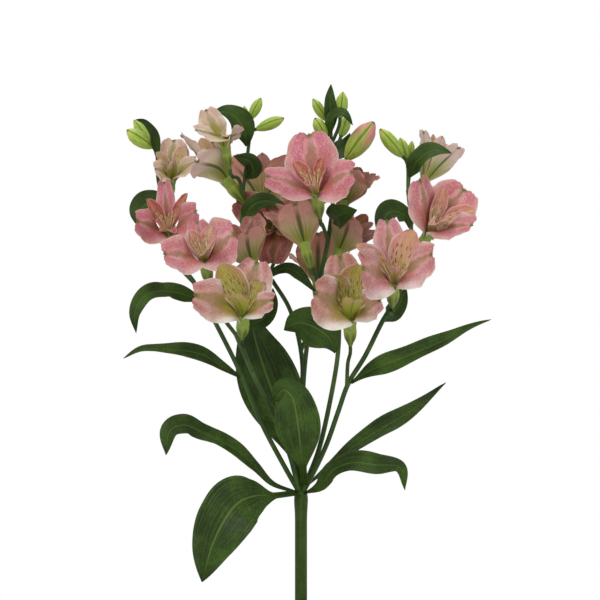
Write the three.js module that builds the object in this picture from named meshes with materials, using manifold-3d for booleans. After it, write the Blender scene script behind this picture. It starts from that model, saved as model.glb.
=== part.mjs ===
// A Peruvian lily in a plain clay pot: one stem that forks at a whorl of leaves into an umbel of
// pink blooms and green buds. Millimetres, +Z up, origin at the middle of the pot's flat base.
import * as THREE from 'three';
import { mergeVertices } from 'three/addons/utils/BufferGeometryUtils.js';
import Module from 'manifold-3d';

const wasm = await Module();
wasm.setup();

// Driving dimensions
const POT = {
	height: 126, rimRadius: 76, shoulderRadius: 70, baseRadius: 51,
	wall: 6, floor: 8, collar: 26, edge: 1.5,
	drainRadius: 4.5, drainCircle: 28, drains: 4, sides: 26,
};
const SOIL = { top: 110, crown: 4, gap: 0.3, sides: 20 };
const STEM = {
	foot: 40, radius: 3.9, sides: 10, holeRadius: 4.2,
	whorlRadius: 4.6, swell: 14, neck: 3, cap: 5,
};
const CLEARANCE = 0.3; // between pieces that touch
const BLADE = 0.7; // thickness of leaves
const TEPAL = 0.7; // thickness of tepals
const OVARY = { length: 14, radius: 4.2 };
const STALK = { ray: 1.65, branch: 1.4, pedicel: 1.15, lead: 5, step: 46, sides: 5, budSides: 4 };
const OUTER = {
	whorl: 'outer', width: 33, claw: 0.24, peak: 0.64, tip: 0.55, notch: 0.8, root: 2, throat: 16,
	cup: -0.08, keel: 0.14, lanes: [-1, 0, 1], stations: [0.16, 0.46, 0.8, 1], base: [90, 210, 330],
};
const INNER = {
	whorl: 'inner', width: 15, claw: 0.16, peak: 0.68, tip: 0.24, notch: 0, root: 1, throat: 19,
	cup: 0.2, keel: 0, lanes: [-1, 1], stations: [0.14, 0.58, 1], base: [30, 150, 270],
};
const TUBE = { length: 6.5, foot: 3.9, mouth: 4.5, sides: 6 }; // where a bloom's tepals stand together
const FILAMENT = { length: 20, radius: 0.45, root: 1.1, spreads: [-0.8, 0.1, 0.9] };
const SMOOTHING = 0.13; // facets closer than this to one plane are joined

// The view that places were read from: pixel columns and rows of the photograph, seen level from
// in front, with the scale at the stem and the depth behind it (+) or before it (-) in millimetres.
const PHOTO = { scale: 0.65, middle: 300, stemColumn: 301, height: 336, distance: 1500 };

function at(column, row, depth = 0) {
	const reach = PHOTO.scale * (1 + depth / PHOTO.distance);
	const shift = (PHOTO.middle - PHOTO.stemColumn) * PHOTO.scale;
	return new THREE.Vector3(
		shift + (column - PHOTO.middle) * reach, depth, PHOTO.height - (row - PHOTO.middle) * reach);
}

const COLOURS = {
	clay: { color: 0xa8643f, roughness: 0.9 },
	soil: { color: 0x2e2018, roughness: 1 },
	stem: { color: 0x4c7a33, roughness: 0.55 },
	leaf: { color: 0x2f5a2a, roughness: 0.5 },
	bloom: { color: 0xdb8f9a, roughness: 0.6 },
	bud: { color: 0x9db83c, roughness: 0.55 },
};

// Blooms: seat is the top of the ovary and stalk leads to it. The tepals of a bloom in full view are given
// by where their tips are seen, with the depth behind (+) or before (-) the seat. The outer three go round
// from the one at the back, and the inner three from its right. A fourth number turns a tepal's inside (+)
// or outside (-) towards the viewer by that share of the way, a fifth is its share of the usual width, and
// a sixth folds its two halves inwards (+) or outwards (-). throat is the share of the usual throat's
// length. The other blooms open evenly round their face, by the angles of their outer and inner tips,
// which reach so far from the seat.
const BLOOMS = {
	crown: {
		seat: at(317, 200, -34), stalk: [at(328, 240, -4), at(322, 224, -18)], throat: 0.8,
		outer: [[309, 134, 5, 0.4, 1.05], [267, 176, -24, 0.6, 0.66, -0.2], [352, 172, -28, 0.6, 0.84, -0.2]],
		inner: [[323, 157, -10, 0.3, 0.6], [293, 162, -8, 0.3, 0.75], [306, 185, -32, 0.3, 0.5]],
	},
	right: {
		seat: at(426, 238, -22), stalk: [at(409, 262, -14), at(416, 258, -18)], size: 0.92, throat: 0.85,
		outer: [[465, 189, -4, 0.5, 1.2], [420, 180, -22, 0.5, 0.82, -0.2], [472, 225, -35, 0.5, 0.8]],
		inner: [[475, 210, -22, 0.4, 1.2], [444, 187, -12, 0.4, 0.8], [448, 220, -34, 0.4, 0.8]],
	},
	front_right: {
		seat: at(393, 290, -48), stalk: [at(382, 322, -38), at(388, 313, -44)],
		outer: [[387, 221, 4, 0.3, 0.66], [363, 268, -38, 0.8, 1.05, -0.15], [432, 254, -28, 0.5, 0.88, -0.15]],
		inner: [[414, 230, -14, 0.6, 1.35], [356, 246, -36, 0.5, 0.9], [395, 267, -32, 0, 0.5]],
	},
	front_centre: {
		seat: at(350, 327, -48), stalk: [at(346, 386, -30), at(348, 362, -46)],
		outer: [[340, 256, 4, 0.4, 0.8], [316, 293, -30, 0.8, 1, -0.15], [380, 300, -19, 0.8, 0.64, -0.15]],
		inner: [[359, 264, -8, 0.6, 1.5], [333, 275, -10, 0.5, 1.1], [355, 299, -34, -0.4, 0.9]],
	},
	front_left: {
		seat: at(243, 322, -52), stalk: [at(252, 372, -34), at(244, 350, -50)],
		outer: [[257, 262, 2, 0.6, 0.85], [195, 295, -30, 0.8, 0.84, -0.15], [272, 300, -26, 0.7, 0.5, -0.15]],
		inner: [[263, 280, -2, 0, 0.8], [219, 265, -12, 0.6, 1.35], [229, 294, -34, -0.3, 0.8]],
	},
	left: {
		seat: at(206, 267, -38), stalk: [at(236, 335, -30), at(210, 300, -40)], size: 0.95, throat: 0.75,
		outer: [[197, 222, 2, 0.3, 0.6], [164, 254, -26, 0.7, 0.85], [234, 234, -16, 0.6, 1.2]],
		inner: [[212, 225, -6, 0.4, 0.8], [189, 231, -12, 0.4, 0.8], [216, 238, -34, 0.4, 0.7]],
	},
	far_left: {
		seat: at(169, 236, -4), stalk: [at(196, 285, -14), at(174, 262, -4)], size: 0.86, throat: 0.5,
		outer: [[164, 181, 4, 0.3, 0.45], [137, 221, -26, 0.8, 0.8, -0.1], [196, 211, -22, 0.7, 0.8, -0.1]],
		inner: [[187, 193, -12, 0.3, 0.7], [147, 199, -14, 0.3, 0.85], [160, 226, -28, 0.3, 1.1]],
	},
	upper_left: {
		seat: at(171, 186, 12), stalk: [at(178, 262, -2), at(172, 215, 12)], size: 0.7, stamens: [],
		outer: [[174, 140, 6, 0.5, 0.95], [155, 169, -14, 0.6, 0.7], [196, 161, -10, 0.6, 0.6, 0.25]],
		inner: [[184, 146, 0, 0.3], [156, 152, -6, 0.3, 0.9], [173, 160, -18, 0.3, 0.8]],
	},
	top_left_low: {
		seat: at(231, 186, 4), stalk: [at(244, 240, 4), at(242, 214, 2)],
		outer: [[212, 141, 6, 0.3, 0.75], [182, 136, 2, -0.5, 0.7, 0.2], [197, 161, -24, -0.8, 0.75, 0.25]],
		inner: [[222, 148, -9, 0.3, 0.8], [200, 138, 7, 0.3, 0.8], [204, 165, -14, 0.2, 0.6]],
	},
	top_left_high: {
		seat: at(226, 153, -10), stalk: [at(246, 205, 8), at(238, 178, -2)], size: 0.76, stamens: [],
		outer: [[206, 110, 0, 0.5, 0.8], [196, 130, -18, 0.5, 0.6], [241, 133, 6, -0.4, 0.7]],
		inner: [[222, 122, 8, 0.3, 0.6], [208, 132, -12, 0.3, 0.6], [224, 136, -16, -0.3, 0.6]],
	},
	back_left: {
		seat: at(262, 206, 34), stalk: [at(262, 290, 28), at(262, 245, 36)], size: 0.9, stamens: [],
		face: [0, 0.66, 0.75], turn: 60, open: [40, 24], reach: 38,
	},
	middle_left: {
		seat: at(277, 226, 30), stalk: [at(262, 300, 24), at(276, 256, 38)], size: 0.78,
		face: [-0.1, -0.95, 0.1], turn: 60, open: [50, 28], reach: 36,
	},
	lower_left: {
		seat: at(254, 268, -22), stalk: [at(256, 330, -24), at(256, 294, -24)], size: 0.86, stamens: [],
		face: [-0.42, -0.25, 0.87], turn: 20, open: [36, 24], reach: 34,
	},
	centre: {
		seat: at(306, 250, -18), stalk: [at(320, 288, -4), at(314, 268, -14)], size: 0.86, stamens: [],
		face: [-0.24, 0, 0.97], turn: -90, open: [34, 22], reach: 36,
	},
	back_right: {
		seat: at(343, 207, 14), stalk: [at(337, 268, 8), at(339, 236, 14)], size: 0.8, stamens: [],
		face: [0.3, -0.12, 0.9], turn: 100, open: [30, 22], reach: 30,
	},
	middle_right: {
		seat: at(337, 255, 2), stalk: [at(338, 312, -2), at(337, 280, 0)], size: 0.76, stamens: [],
		face: [0.5, -0.16, 0.84], turn: 90, open: [34, 22], reach: 34,
	},
	back_centre: {
		seat: at(318, 287, 20), stalk: [at(306, 350, 12), at(316, 312, 20)], size: 0.88, stamens: [],
		face: [0, 0.5, 0.86], turn: 0, open: [36, 22], reach: 36,
	},
	far_right: {
		seat: at(423, 183, 16), stalk: [at(410, 228, 0), at(417, 203, 14)], size: 0.72, stamens: [],
		face: [0.42, 0, 0.9], turn: 20, open: [26, 16], reach: 34,
	},
};

// Buds: base, tip and girth of each, and the stalk that leads to it.
const BUDS = {
	top_left_fat: {
		base: at(152, 147, 8), tip: at(127, 130, 2), radius: 5.2,
		stalk: [at(172, 226, 10), at(158, 180, 12)],
	},
	top_left_back: {
		base: at(152, 146, 16), tip: at(134, 120, 18), radius: 4,
		stalk: [at(156, 172, 12)],
	},
	crown_left_long: {
		base: at(257, 129, 8), tip: at(284, 118, 4), radius: 3.9,
		stalk: [at(246, 190, 8), at(249, 142, 10)],
	},
	crown_left_small: {
		base: at(250, 119, 12), tip: at(261, 98, 10), radius: 3.5,
		stalk: [at(249, 142, 10)],
	},
	crown_left_tiny: {
		base: at(248, 122, 17), tip: at(244, 106, 22), radius: 2,
		stalk: [at(249, 142, 10)],
	},
	crown_low: {
		base: at(326, 138, -2), tip: at(315, 118, -8), radius: 4.2,
		stalk: [at(333, 170, 2)],
	},
	crown_left: {
		base: at(326, 120, 6), tip: at(313, 99, 2), radius: 3.4,
		stalk: [at(331, 150, 6)],
	},
	crown_right: {
		base: at(340, 118, 10), tip: at(343, 92, 14), radius: 4.2,
		stalk: [at(333, 150, 8)],
	},
	crown_behind: {
		base: at(341, 136, 18), tip: at(348, 116, 26), radius: 3.8,
		stalk: [at(334, 165, 8)],
	},
	pink_tipped: {
		base: at(347, 158, 2), tip: at(374, 122, -4), radius: 7.2,
		stalk: [at(336, 200, 2), at(341, 172, 2)],
	},
	far_right_long: {
		base: at(402, 156, 2), tip: at(380, 129, -4), radius: 4.6,
		stalk: [at(408, 190, 4)],
	},
	far_right_middle: {
		base: at(407, 159, 10), tip: at(400, 138, 10), radius: 3.6,
		stalk: [at(408, 188, 4)],
	},
	far_right_small: {
		base: at(410, 159, 15), tip: at(412, 141, 19), radius: 2.4,
		stalk: [at(409, 186, 5)],
	},
};

// Small leaves among the blooms: spine from root to tip, greatest width, and how the face turns from the
// viewer (0) to the sky (90) along the spine.
const BRACTS = {
	top_left: {
		spine: [at(158, 160, 8), at(154, 138, 4), at(146, 124, 0), at(136, 119, -4)],
		width: 9, tilt: [30, 50, 40],
	},
	far_left: {
		spine: [at(168, 200, 14), at(154, 200, 16), at(141, 209, 16), at(138, 227, 12)],
		width: 17, tilt: [20, 10, 0],
	},
	crown_left: {
		spine: [at(249, 146, 8), at(243, 127, 4), at(231, 114, 0), at(215, 110, -4)],
		width: 17, tilt: [0, 20, 40],
	},
	crown_left_low: {
		spine: [at(246, 179, 6), at(253, 171, 0), at(250, 162, -4), at(234, 156, -8)],
		width: 12, tilt: [0, 0, 0],
	},
	left_arch: {
		spine: [at(243, 226, 4), at(249, 209, 0), at(264, 201, -4), at(286, 205, -8)],
		width: 12, tilt: [0, 20, 10],
	},
	crown_tall: {
		spine: [at(332, 134, 6), at(331, 116, -2), at(330, 100, -4), at(331, 84, -4)],
		width: 9, tilt: [0, 10, 0],
	},
	crown_arch: {
		spine: [at(327, 130, 0), at(333, 116, -11), at(343, 113, -15), at(353, 125, -17)],
		width: 8.5, tilt: [20, 45, 20],
	},
	crown_back: {
		spine: [at(336, 163, 10), at(341, 150, 22), at(347, 142, 27), at(350, 133, 28)],
		width: 13, tilt: [0, 10, 0],
	},
	right_round: {
		spine: [at(332, 221, -4), at(338, 216, -20), at(346, 213, -27), at(357, 210, -29)],
		width: 17, tilt: [0, 0, 0],
	},
	far_right: {
		spine: [at(408, 177, 0), at(418, 160, -8), at(434, 150, -10), at(452, 153, -8)],
		width: 15, tilt: [20, 40, 40],
	},
	right_fold: {
		spine: [at(414, 228, -6), at(406, 216, -8), at(390, 212, -16), at(377, 235, -28)],
		width: 16, tilt: [20, 30, 0],
	},
	front_right: {
		spine: [at(384, 322, -36), at(393, 313, -24), at(401, 301, -18), at(406, 287, -14)],
		width: 12, tilt: [0, 10, 10],
	},
	centre_low: {
		spine: [at(304, 288, 4), at(292, 270, 4), at(279, 270, 2), at(265, 280, -2)],
		width: 9, tilt: [20, 30, 20],
	},
	behind_front_left: {
		spine: [at(253, 334, -24), at(264, 318, -18), at(272, 304, -16), at(273, 288, -14)],
		width: 11, tilt: [0, 0, 0],
	},
};

// The whorl's long leaves and those on the rays.
const LEAVES = {
	left_upper: {
		spine: [
			at(207, 302, -18), at(192, 297, -22), at(164, 291, -30), at(145, 296, -38), at(135, 312, -42),
			at(136, 333, -44),
		],
		width: 14, tilt: [30, 10, 55, 30, 0, 0], peak: 0.4,
	},
	left_long: {
		spine: [
			at(241, 377, -16), at(223, 367, -24), at(200, 354, -32), at(170, 350, -42), at(143, 349, -50),
			at(123, 358, -56),
		],
		width: 12, tilt: [30, 40, 40, 55, 45], peak: 0.42,
	},
	left_low: {
		spine: [
			at(294, 494, -2), at(272, 484, -10), at(254, 466, -18), at(236, 450, -26), at(202, 433, -38),
			at(184, 425, -46), at(170, 431, -52), at(166, 455, -54),
		],
		width: 16, tilt: [60, 50, 50, 55, 40, 0], peak: 0.76,
	},
	front_left_hanging: {
		spine: [
			at(294, 498, -6), at(276, 496, -18), at(255, 496, -32), at(238, 503, -42), at(225, 519, -48),
			at(212, 546, -50), at(202, 582, -48),
		],
		width: 36, tilt: [60, 50, 20, 0, 0, 0], petiole: 0.2, peak: 0.56,
	},
	big_upright: {
		spine: [
			at(299, 486, 1), at(297, 464, 1), at(288, 434, 5), at(275, 398, 6), at(262, 362, 4),
			at(254, 334, -4), at(250, 310, -10),
		],
		width: 40, tilt: [0, 0, 0, 0], petiole: 0.14, peak: 0.56,
	},
	centre_folded: {
		spine: [
			at(302, 487, -8), at(303, 466, -20), at(300, 441, -28), at(297, 417, -32), at(292, 397, -33),
			at(284, 390, -31), at(272, 402, -29),
		],
		width: 29, tilt: [0, -10, 0, 0], petiole: 0.22, peak: 0.58,
	},
	centre_round: {
		spine: [
			at(339, 352, -8), at(328, 337, -14), at(312, 326, -20), at(297, 323, -24), at(284, 330, -26),
		],
		width: 26, tilt: [30, 10, 0, 0], peak: 0.5,
	},
	right_upper: {
		spine: [
			at(350, 383, -32), at(370, 371, -38), at(400, 359, -44), at(438, 343, -50), at(468, 328, -54),
			at(491, 319, -56),
		],
		width: 15, tilt: [50, 30, 40, 50, 50], peak: 0.34,
	},
	right_middle: {
		spine: [
			at(309, 488, 2), at(336, 462, 14), at(353, 447, 18), at(377, 431, 24), at(404, 415, 32),
			at(429, 397, 38), at(446, 382, 42),
		],
		width: 14, tilt: [60, 60, 40, 30, 40, 50], peak: 0.56,
	},
	right_low: {
		spine: [
			at(308, 499, -4), at(320, 486, -14), at(334, 470, -24), at(352, 463, -34), at(376, 465, -42),
			at(400, 468, -50), at(405, 490, -52),
		],
		width: 17, tilt: [60, 40, 50, 40, 30, 0], peak: 0.5,
	},
};

// Rays of the umbel, from the whorl to their last fork, and a side shoot.
const WHORL = at(301, 494, 0);
const RAYS = [
	[
		at(298, 490, -2), at(282, 462, -6), at(262, 424, -12), at(240, 372, -16), at(214, 320, -18),
		at(196, 285, -14), at(178, 262, -4),
	],
	[at(299, 490, -3), at(290, 456, -10), at(272, 412, -22), at(252, 372, -34), at(236, 335, -30)],
	[
		at(300, 489, 2), at(290, 440, 18), at(274, 380, 22), at(262, 320, 18), at(250, 270, 10),
		at(244, 238, 5), at(246, 200, 8),
	],
	[
		at(302, 489, 2), at(303, 440, 2), at(303, 390, 2), at(307, 345, 3), at(314, 306, 0),
		at(323, 265, -3), at(328, 240, -4), at(333, 200, 0), at(333, 165, 4),
	],
	[at(303, 489, -1), at(318, 452, -6), at(331, 396, -8), at(338, 352, -8), at(339, 316, -2), at(337, 280, 4)],
	[
		at(304, 490, -3), at(325, 448, -16), at(338, 412, -24), at(348, 384, -31), at(365, 356, -38),
		at(382, 322, -38), at(397, 296, -30), at(409, 256, -14), at(411, 222, -4), at(408, 190, 4),
	],
	[at(300, 489, 4), at(300, 420, 16), at(302, 360, 18), at(290, 310, 20), at(272, 280, 22)],
];
const SIDE_SHOOT = [at(272, 280, 22), at(262, 290, 26)];

// Solids

// Turns a closed geometry into a solid that can be joined and cut.
function solidOf(geometry) {
	geometry.deleteAttribute('normal');
	geometry.deleteAttribute('uv');
	const merged = mergeVertices(geometry, 1e-4);
	return new wasm.Manifold(new wasm.Mesh({
		numProp: 3,
		vertProperties: merged.attributes.position.array,
		triVerts: new Uint32Array(merged.index.array),
	}));
}

function meshGeometry(solid) {
	const mesh = solid.getMesh();
	const geometry = new THREE.BufferGeometry();
	geometry.setAttribute('position', new THREE.BufferAttribute(mesh.vertProperties, 3));
	geometry.setIndex(new THREE.BufferAttribute(mesh.triVerts, 1));
	const faceted = geometry.toNonIndexed();
	faceted.computeVertexNormals();
	return faceted;
}

function closedGeometry(points, faces) {
	const geometry = new THREE.BufferGeometry().setFromPoints(points);
	geometry.setIndex(faces.flat());
	return geometry;
}

// A closed skin over rings of points, with a flat fan on each end.
function loft(rings) {
	const sides = rings[0].length;
	const points = rings.flat();
	const faces = [];
	for (let ring = 0; ring + 1 < rings.length; ring++) {
		for (let side = 0; side < sides; side++) {
			const next = (side + 1) % sides;
			const [a, b] = [ring * sides + side, ring * sides + next];
			const [c, d] = [a + sides, b + sides];
			faces.push([a, b, d], [a, d, c]);
		}
	}
	for (const [start, turn] of [[0, -1], [(rings.length - 1) * sides, 1]]) {
		for (let side = 1; side + 1 < sides; side++) {
			faces.push(turn > 0
				? [start, start + side, start + side + 1]
				: [start, start + side + 1, start + side]);
		}
	}
	return solidOf(closedGeometry(points, faces));
}

function ringAround(centre, normal, binormal, radius, sides) {
	return Array.from({ length: sides }, (_, side) => {
		const angle = (2 * Math.PI * side) / sides;
		return centre.clone()
			.addScaledVector(normal, radius * Math.cos(angle))
			.addScaledVector(binormal, radius * Math.sin(angle));
	});
}

function smoothCurve(points) {
	return new THREE.CatmullRomCurve3(points, false, 'centripetal');
}

// Places along a curve, spaced by the step of the stalks.
function spaced(curve) {
	return curve.getSpacedPoints(Math.max(2, Math.ceil(curve.getLength() / STALK.step)));
}

// A round tapered stalk along a smooth curve. Beyond its end it may go straight on, with a girth at each
// distance: [distance, radius].
function stalk(points, startRadius, endRadius, sides, beyond = []) {
	const curve = smoothCurve(points);
	const centres = spaced(curve);
	const last = centres.length - 1;
	const frames = curve.computeFrenetFrames(last);
	const rings = centres.map((centre, k) => ringAround(
		centre, frames.normals[k], frames.binormals[k],
		THREE.MathUtils.lerp(startRadius, endRadius, k / last), sides));
	for (const [distance, radius] of beyond) {
		const centre = centres[last].clone().addScaledVector(frames.tangents[last], distance);
		rings.push(ringAround(centre, frames.normals[last], frames.binormals[last], radius, sides));
	}
	return loft(rings);
}

// The nearest place to a point on the centre lines of limbs, with the limb's direction and radius there.
function nearestOn(limbs, point) {
	const stretch = new THREE.Line3();
	const place = new THREE.Vector3();
	let nearest = { distance: Infinity };
	for (const { line, startRadius, endRadius } of limbs) {
		for (let k = 0; k + 1 < line.length; k++) {
			stretch.set(line[k], line[k + 1]).closestPointToPoint(point, true, place);
			const distance = place.distanceTo(point);
			if (distance >= nearest.distance) continue;
			const direction = line[k + 1].clone().sub(line[k]).normalize();
			const radius = THREE.MathUtils.lerp(startRadius, endRadius, k / (line.length - 1));
			nearest = { distance, place: place.clone(), direction, radius };
		}
	}
	return nearest;
}

// A body that swells along a straight axis: stations are [share of the length, radius].
function swelling(base, tip, stations, sides) {
	const axis = tip.clone().sub(base);
	const length = axis.length();
	axis.normalize();
	const normal = perpendicular(axis, new THREE.Vector3(0, -1, 0.2));
	const binormal = axis.clone().cross(normal);
	return loft(stations.map(([share, radius]) => ringAround(
		base.clone().addScaledVector(axis, share * length), normal, binormal, radius, sides)));
}

function perpendicular(axis, hint) {
	return hint.clone().addScaledVector(axis, -hint.dot(axis)).normalize();
}

// A thin blade over its middle surface, with both faces split into the same triangles.
function blade(surface, lanes, stations, thickness) {
	const small = 1e-3;
	const points = [[], []];
	for (const t of stations) {
		for (const u of lanes) {
			const [u0, u1] = [Math.max(-1, u - small), Math.min(1, u + small)];
			const [t0, t1] = [Math.max(0, t - small), Math.min(1, t + small)];
			const across = surface(u1, t).sub(surface(u0, t));
			const forward = surface(u, t1).sub(surface(u, t0));
			const normal = across.cross(forward).normalize();
			const centre = surface(u, t);
			points[0].push(centre.clone().addScaledVector(normal, thickness / 2));
			points[1].push(centre.clone().addScaledVector(normal, -thickness / 2));
		}
	}
	const wide = lanes.length;
	const long = stations.length;
	const back = wide * long;
	const faces = [];
	for (let j = 0; j + 1 < long; j++) {
		for (let i = 0; i + 1 < wide; i++) {
			const [a, b] = [j * wide + i, j * wide + i + 1];
			const [c, d] = [a + wide, b + wide];
			const split = i < (wide - 1) / 2 ? [[a, b, d], [a, d, c]] : [[a, b, c], [b, d, c]];
			for (const [p, q, r] of split) faces.push([p, q, r], [p + back, r + back, q + back]);
		}
	}
	const rim = [
		...Array.from({ length: wide }, (_, i) => i),
		...Array.from({ length: long - 2 }, (_, j) => (j + 2) * wide - 1),
		...Array.from({ length: wide }, (_, i) => back - 1 - i),
		...Array.from({ length: long - 2 }, (_, j) => (long - 2 - j) * wide),
	];
	rim.forEach((from, k) => {
		const to = rim[(k + 1) % rim.length];
		faces.push([to, from, from + back], [to, from + back, to + back]);
	});
	return solidOf(closedGeometry(points.flat(), faces));
}

// Value of a short list of evenly spaced numbers at a share of the way along it.
function along(list, share) {
	const place = share * (list.length - 1);
	const low = Math.min(Math.floor(place), list.length - 2);
	return THREE.MathUtils.lerp(list[low], list[low + 1], place - low);
}

// Leaves

const LEAF_LANES = [-1, 0, 1];
const BROAD_LANES = [-1, -0.5, 0, 0.5, 1];
const BRACT_STATIONS = [0, 0.3, 0.58, 0.84, 1];
const LEAF_STATIONS = [0, 0.15, 0.3, 0.45, 0.6, 0.74, 0.87, 0.96, 1];

function leafOutline(t, petiole, peak) {
	if (t > peak) return Math.max(0.05, Math.cos(((t - peak) / (1 - peak)) * Math.PI / 2) ** 0.85);
	const share = Math.max(0, t - petiole) / (peak - petiole);
	return 0.16 + 0.84 * Math.sin(share * Math.PI / 2) ** 1.3;
}

function leafSurface({ spine, width, tilt, petiole = 0, peak = 0.45, fold = 0.22, wave = 0.05 }, clear) {
	const curve = smoothCurve(spine);
	const side = spine.at(-1).x < spine[0].x ? 1 : -1;
	return (u, t) => {
		const centre = curve.getPointAt(t);
		const forward = curve.getTangentAt(t);
		const viewer = perpendicular(forward, new THREE.Vector3(0, -1, 0));
		const turned = forward.clone().cross(viewer);
		const angle = side * THREE.MathUtils.degToRad(along(tilt, t));
		const face = viewer.multiplyScalar(Math.cos(angle)).addScaledVector(turned, Math.sin(angle));
		const across = forward.clone().cross(face);
		const outline = leafOutline(t, petiole, peak);
		const half = (width / 2) * outline + clear;
		const ripple = wave * width * Math.sin(4.5 * Math.PI * t + u) * u * u;
		return centre
			.addScaledVector(across, half * u)
			.addScaledVector(face, half * fold * Math.abs(u) + ripple * outline);
	};
}

// Where a leaf leaves the stem: on the skin of the limb nearest to its root, on the side it grows to.
function leafRoot([root, next]) {
	const { place, direction, radius } = nearestOn([TRUNK, ...LIMBS], root);
	const away = perpendicular(direction, next.clone().sub(place));
	return place.addScaledVector(away, radius + CLEARANCE);
}

function leafSolid(leaf, clear) {
	const rooted = { ...leaf, spine: [leafRoot(leaf.spine), ...leaf.spine.slice(1)] };
	const lanes = leaf.width > 30 ? BROAD_LANES : LEAF_LANES;
	const stations = leaf.spine.length > 4 ? LEAF_STATIONS : BRACT_STATIONS;
	return blade(leafSurface(rooted, clear), lanes, stations, BLADE + 2 * clear);
}

// Blooms

function tepalOutline(t, { claw, peak, tip }) {
	const rise = THREE.MathUtils.smoothstep(t, 0.05, peak);
	const round = t > peak ? Math.sqrt(1 - (1 - tip * tip) * ((t - peak) / (1 - peak)) ** 2) : 1;
	return (claw + (1 - claw) * rise) * round;
}

function tipFrom(seat, [column, row, behind]) {
	return at(column, row, seat.y + behind).sub(seat);
}

// The axis runs between the outer tepals, or along the face; dorsal is the side of the first outer tepal.
function bloomFrame({ seat, outer, face, turn }) {
	const axis = new THREE.Vector3();
	if (face) {
		axis.set(...face).normalize();
		const dorsal = perpendicular(axis, new THREE.Vector3(0, 0.001, 1))
			.applyAxisAngle(axis, THREE.MathUtils.degToRad(turn));
		return { seat, axis, dorsal, side: dorsal.clone().cross(axis) };
	}
	outer.forEach((tip) => axis.add(tipFrom(seat, tip).normalize()));
	axis.normalize();
	const dorsal = perpendicular(axis, tipFrom(seat, outer[0]));
	return { seat, axis, dorsal, side: dorsal.clone().cross(axis) };
}

// Where the three tips of a whorl end, from the seat, and the shape of each tepal.
function tepalEnds(bloom, frame, kind) {
	if (!bloom.face) {
		return bloom[kind.whorl].map((tip) => {
			const [, , , show = 0, broad = 1, fold = kind.keel] = tip;
			return { end: tipFrom(bloom.seat, tip), show, broad, fold };
		});
	}
	const open = THREE.MathUtils.degToRad(bloom.open[kind === OUTER ? 0 : 1]);
	return kind.base.map((azimuth) => ({
		end: frame.side.clone()
			.applyAxisAngle(frame.axis, THREE.MathUtils.degToRad(azimuth))
			.multiplyScalar(bloom.reach * Math.sin(open))
			.addScaledVector(frame.axis, bloom.reach * Math.cos(open)),
		show: 0, broad: 1, fold: kind.keel,
	}));
}

// Angle about a tepal's length that would turn its inside (+1) or its outside (-1) to the viewer.
function towardsViewer(across, inner, side) {
	return Math.atan2(side * across.y, -side * inner.y);
}

// A tepal rises beside the axis through the throat and curves out to its tip. It leaves the seat at its
// base angle round the axis and swings to its tip's angle as it opens.
function tepalSurface(frame, kind, index, { end, show, broad, fold }, { size = 1, throat = 1 }, clear) {
	const azimuth = THREE.MathUtils.radToDeg(Math.atan2(end.dot(frame.dorsal), end.dot(frame.side)));
	const swing = THREE.MathUtils.euclideanModulo(azimuth - kind.base[index] + 180, 360) - 180;
	const up = end.dot(frame.axis);
	const out = Math.sqrt(end.lengthSq() - up * up);
	const path = new THREE.QuadraticBezierCurve(
		new THREE.Vector2(kind.root, TEPAL), new THREE.Vector2(kind.root + 1, kind.throat * size * throat),
		new THREE.Vector2(out, up));
	return (u, t) => {
		const turn = THREE.MathUtils.degToRad(
			kind.base[index] + swing * THREE.MathUtils.smoothstep(t, 0.25, 0.9));
		const outward = frame.side.clone().multiplyScalar(Math.cos(turn))
			.addScaledVector(frame.dorsal, Math.sin(turn));
		const across = frame.axis.clone().cross(outward);
		const heading = path.getTangent(t);
		const forward = frame.axis.clone().multiplyScalar(heading.y).addScaledVector(outward, heading.x);
		const inner = frame.axis.clone().multiplyScalar(heading.x).addScaledVector(outward, -heading.y);
		const roll = Math.abs(show) * towardsViewer(across, inner, Math.sign(show))
			* THREE.MathUtils.smoothstep(t, 0.25, 0.75);
		across.applyAxisAngle(forward, roll);
		inner.applyAxisAngle(forward, roll);
		const half = ((kind.width * size * broad) / 2) * tepalOutline(t, kind) + clear;
		const lift = half * (kind.cup * u * u + fold * Math.abs(u));
		const lobe = kind.notch * size * Math.abs(u) * THREE.MathUtils.smoothstep(t, 0.8, 1);
		const place = path.getPoint(t);
		return frame.seat.clone()
			.addScaledVector(outward, place.x)
			.addScaledVector(frame.axis, place.y)
			.addScaledVector(across, half * u)
			.addScaledVector(inner, lift)
			.addScaledVector(forward, lobe + (t === 1 ? clear : 0));
	};
}

// A stamen: a thin three-sided filament that bows down and out, with its anther at the end.
function stamen(frame, spread, size, clear) {
	const length = FILAMENT.length * size;
	const rings = [
		[0.1, 0, 1], [0.5, 0.07, 1], [0.88, 0.08, 0.9], [1, 0.04, 2.2],
	];
	return loft(rings.map(([forward, down, girth]) => ringAround(
		frame.seat.clone()
			.addScaledVector(frame.axis, forward * length)
			.addScaledVector(frame.dorsal, -down * length)
			.addScaledVector(frame.side, spread * (FILAMENT.root + 0.3 * forward * forward * length)),
		frame.side, frame.dorsal, FILAMENT.radius * girth + clear, 3)));
}

function bloomSolid(bloom, clear) {
	const frame = bloomFrame(bloom);
	const size = bloom.size ?? 1;
	const pieces = [swelling(
		frame.seat.clone().addScaledVector(frame.axis, CLEARANCE - clear),
		frame.seat.clone().addScaledVector(frame.axis, TUBE.length * size + clear),
		[[0, TUBE.foot * size + clear], [1, TUBE.mouth * size + clear]], TUBE.sides)];
	for (const kind of [OUTER, INNER]) {
		tepalEnds(bloom, frame, kind).forEach((end, index) => {
			const surface = tepalSurface(frame, kind, index, end, bloom, clear);
			pieces.push(blade(surface, kind.lanes, kind.stations, TEPAL + 2 * clear));
		});
	}
	for (const spread of bloom.stamens ?? FILAMENT.spreads) {
		pieces.push(stamen(frame, spread, size, clear));
	}
	return pieces.reduce((whole, piece) => whole.add(piece));
}

// Buds

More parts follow.
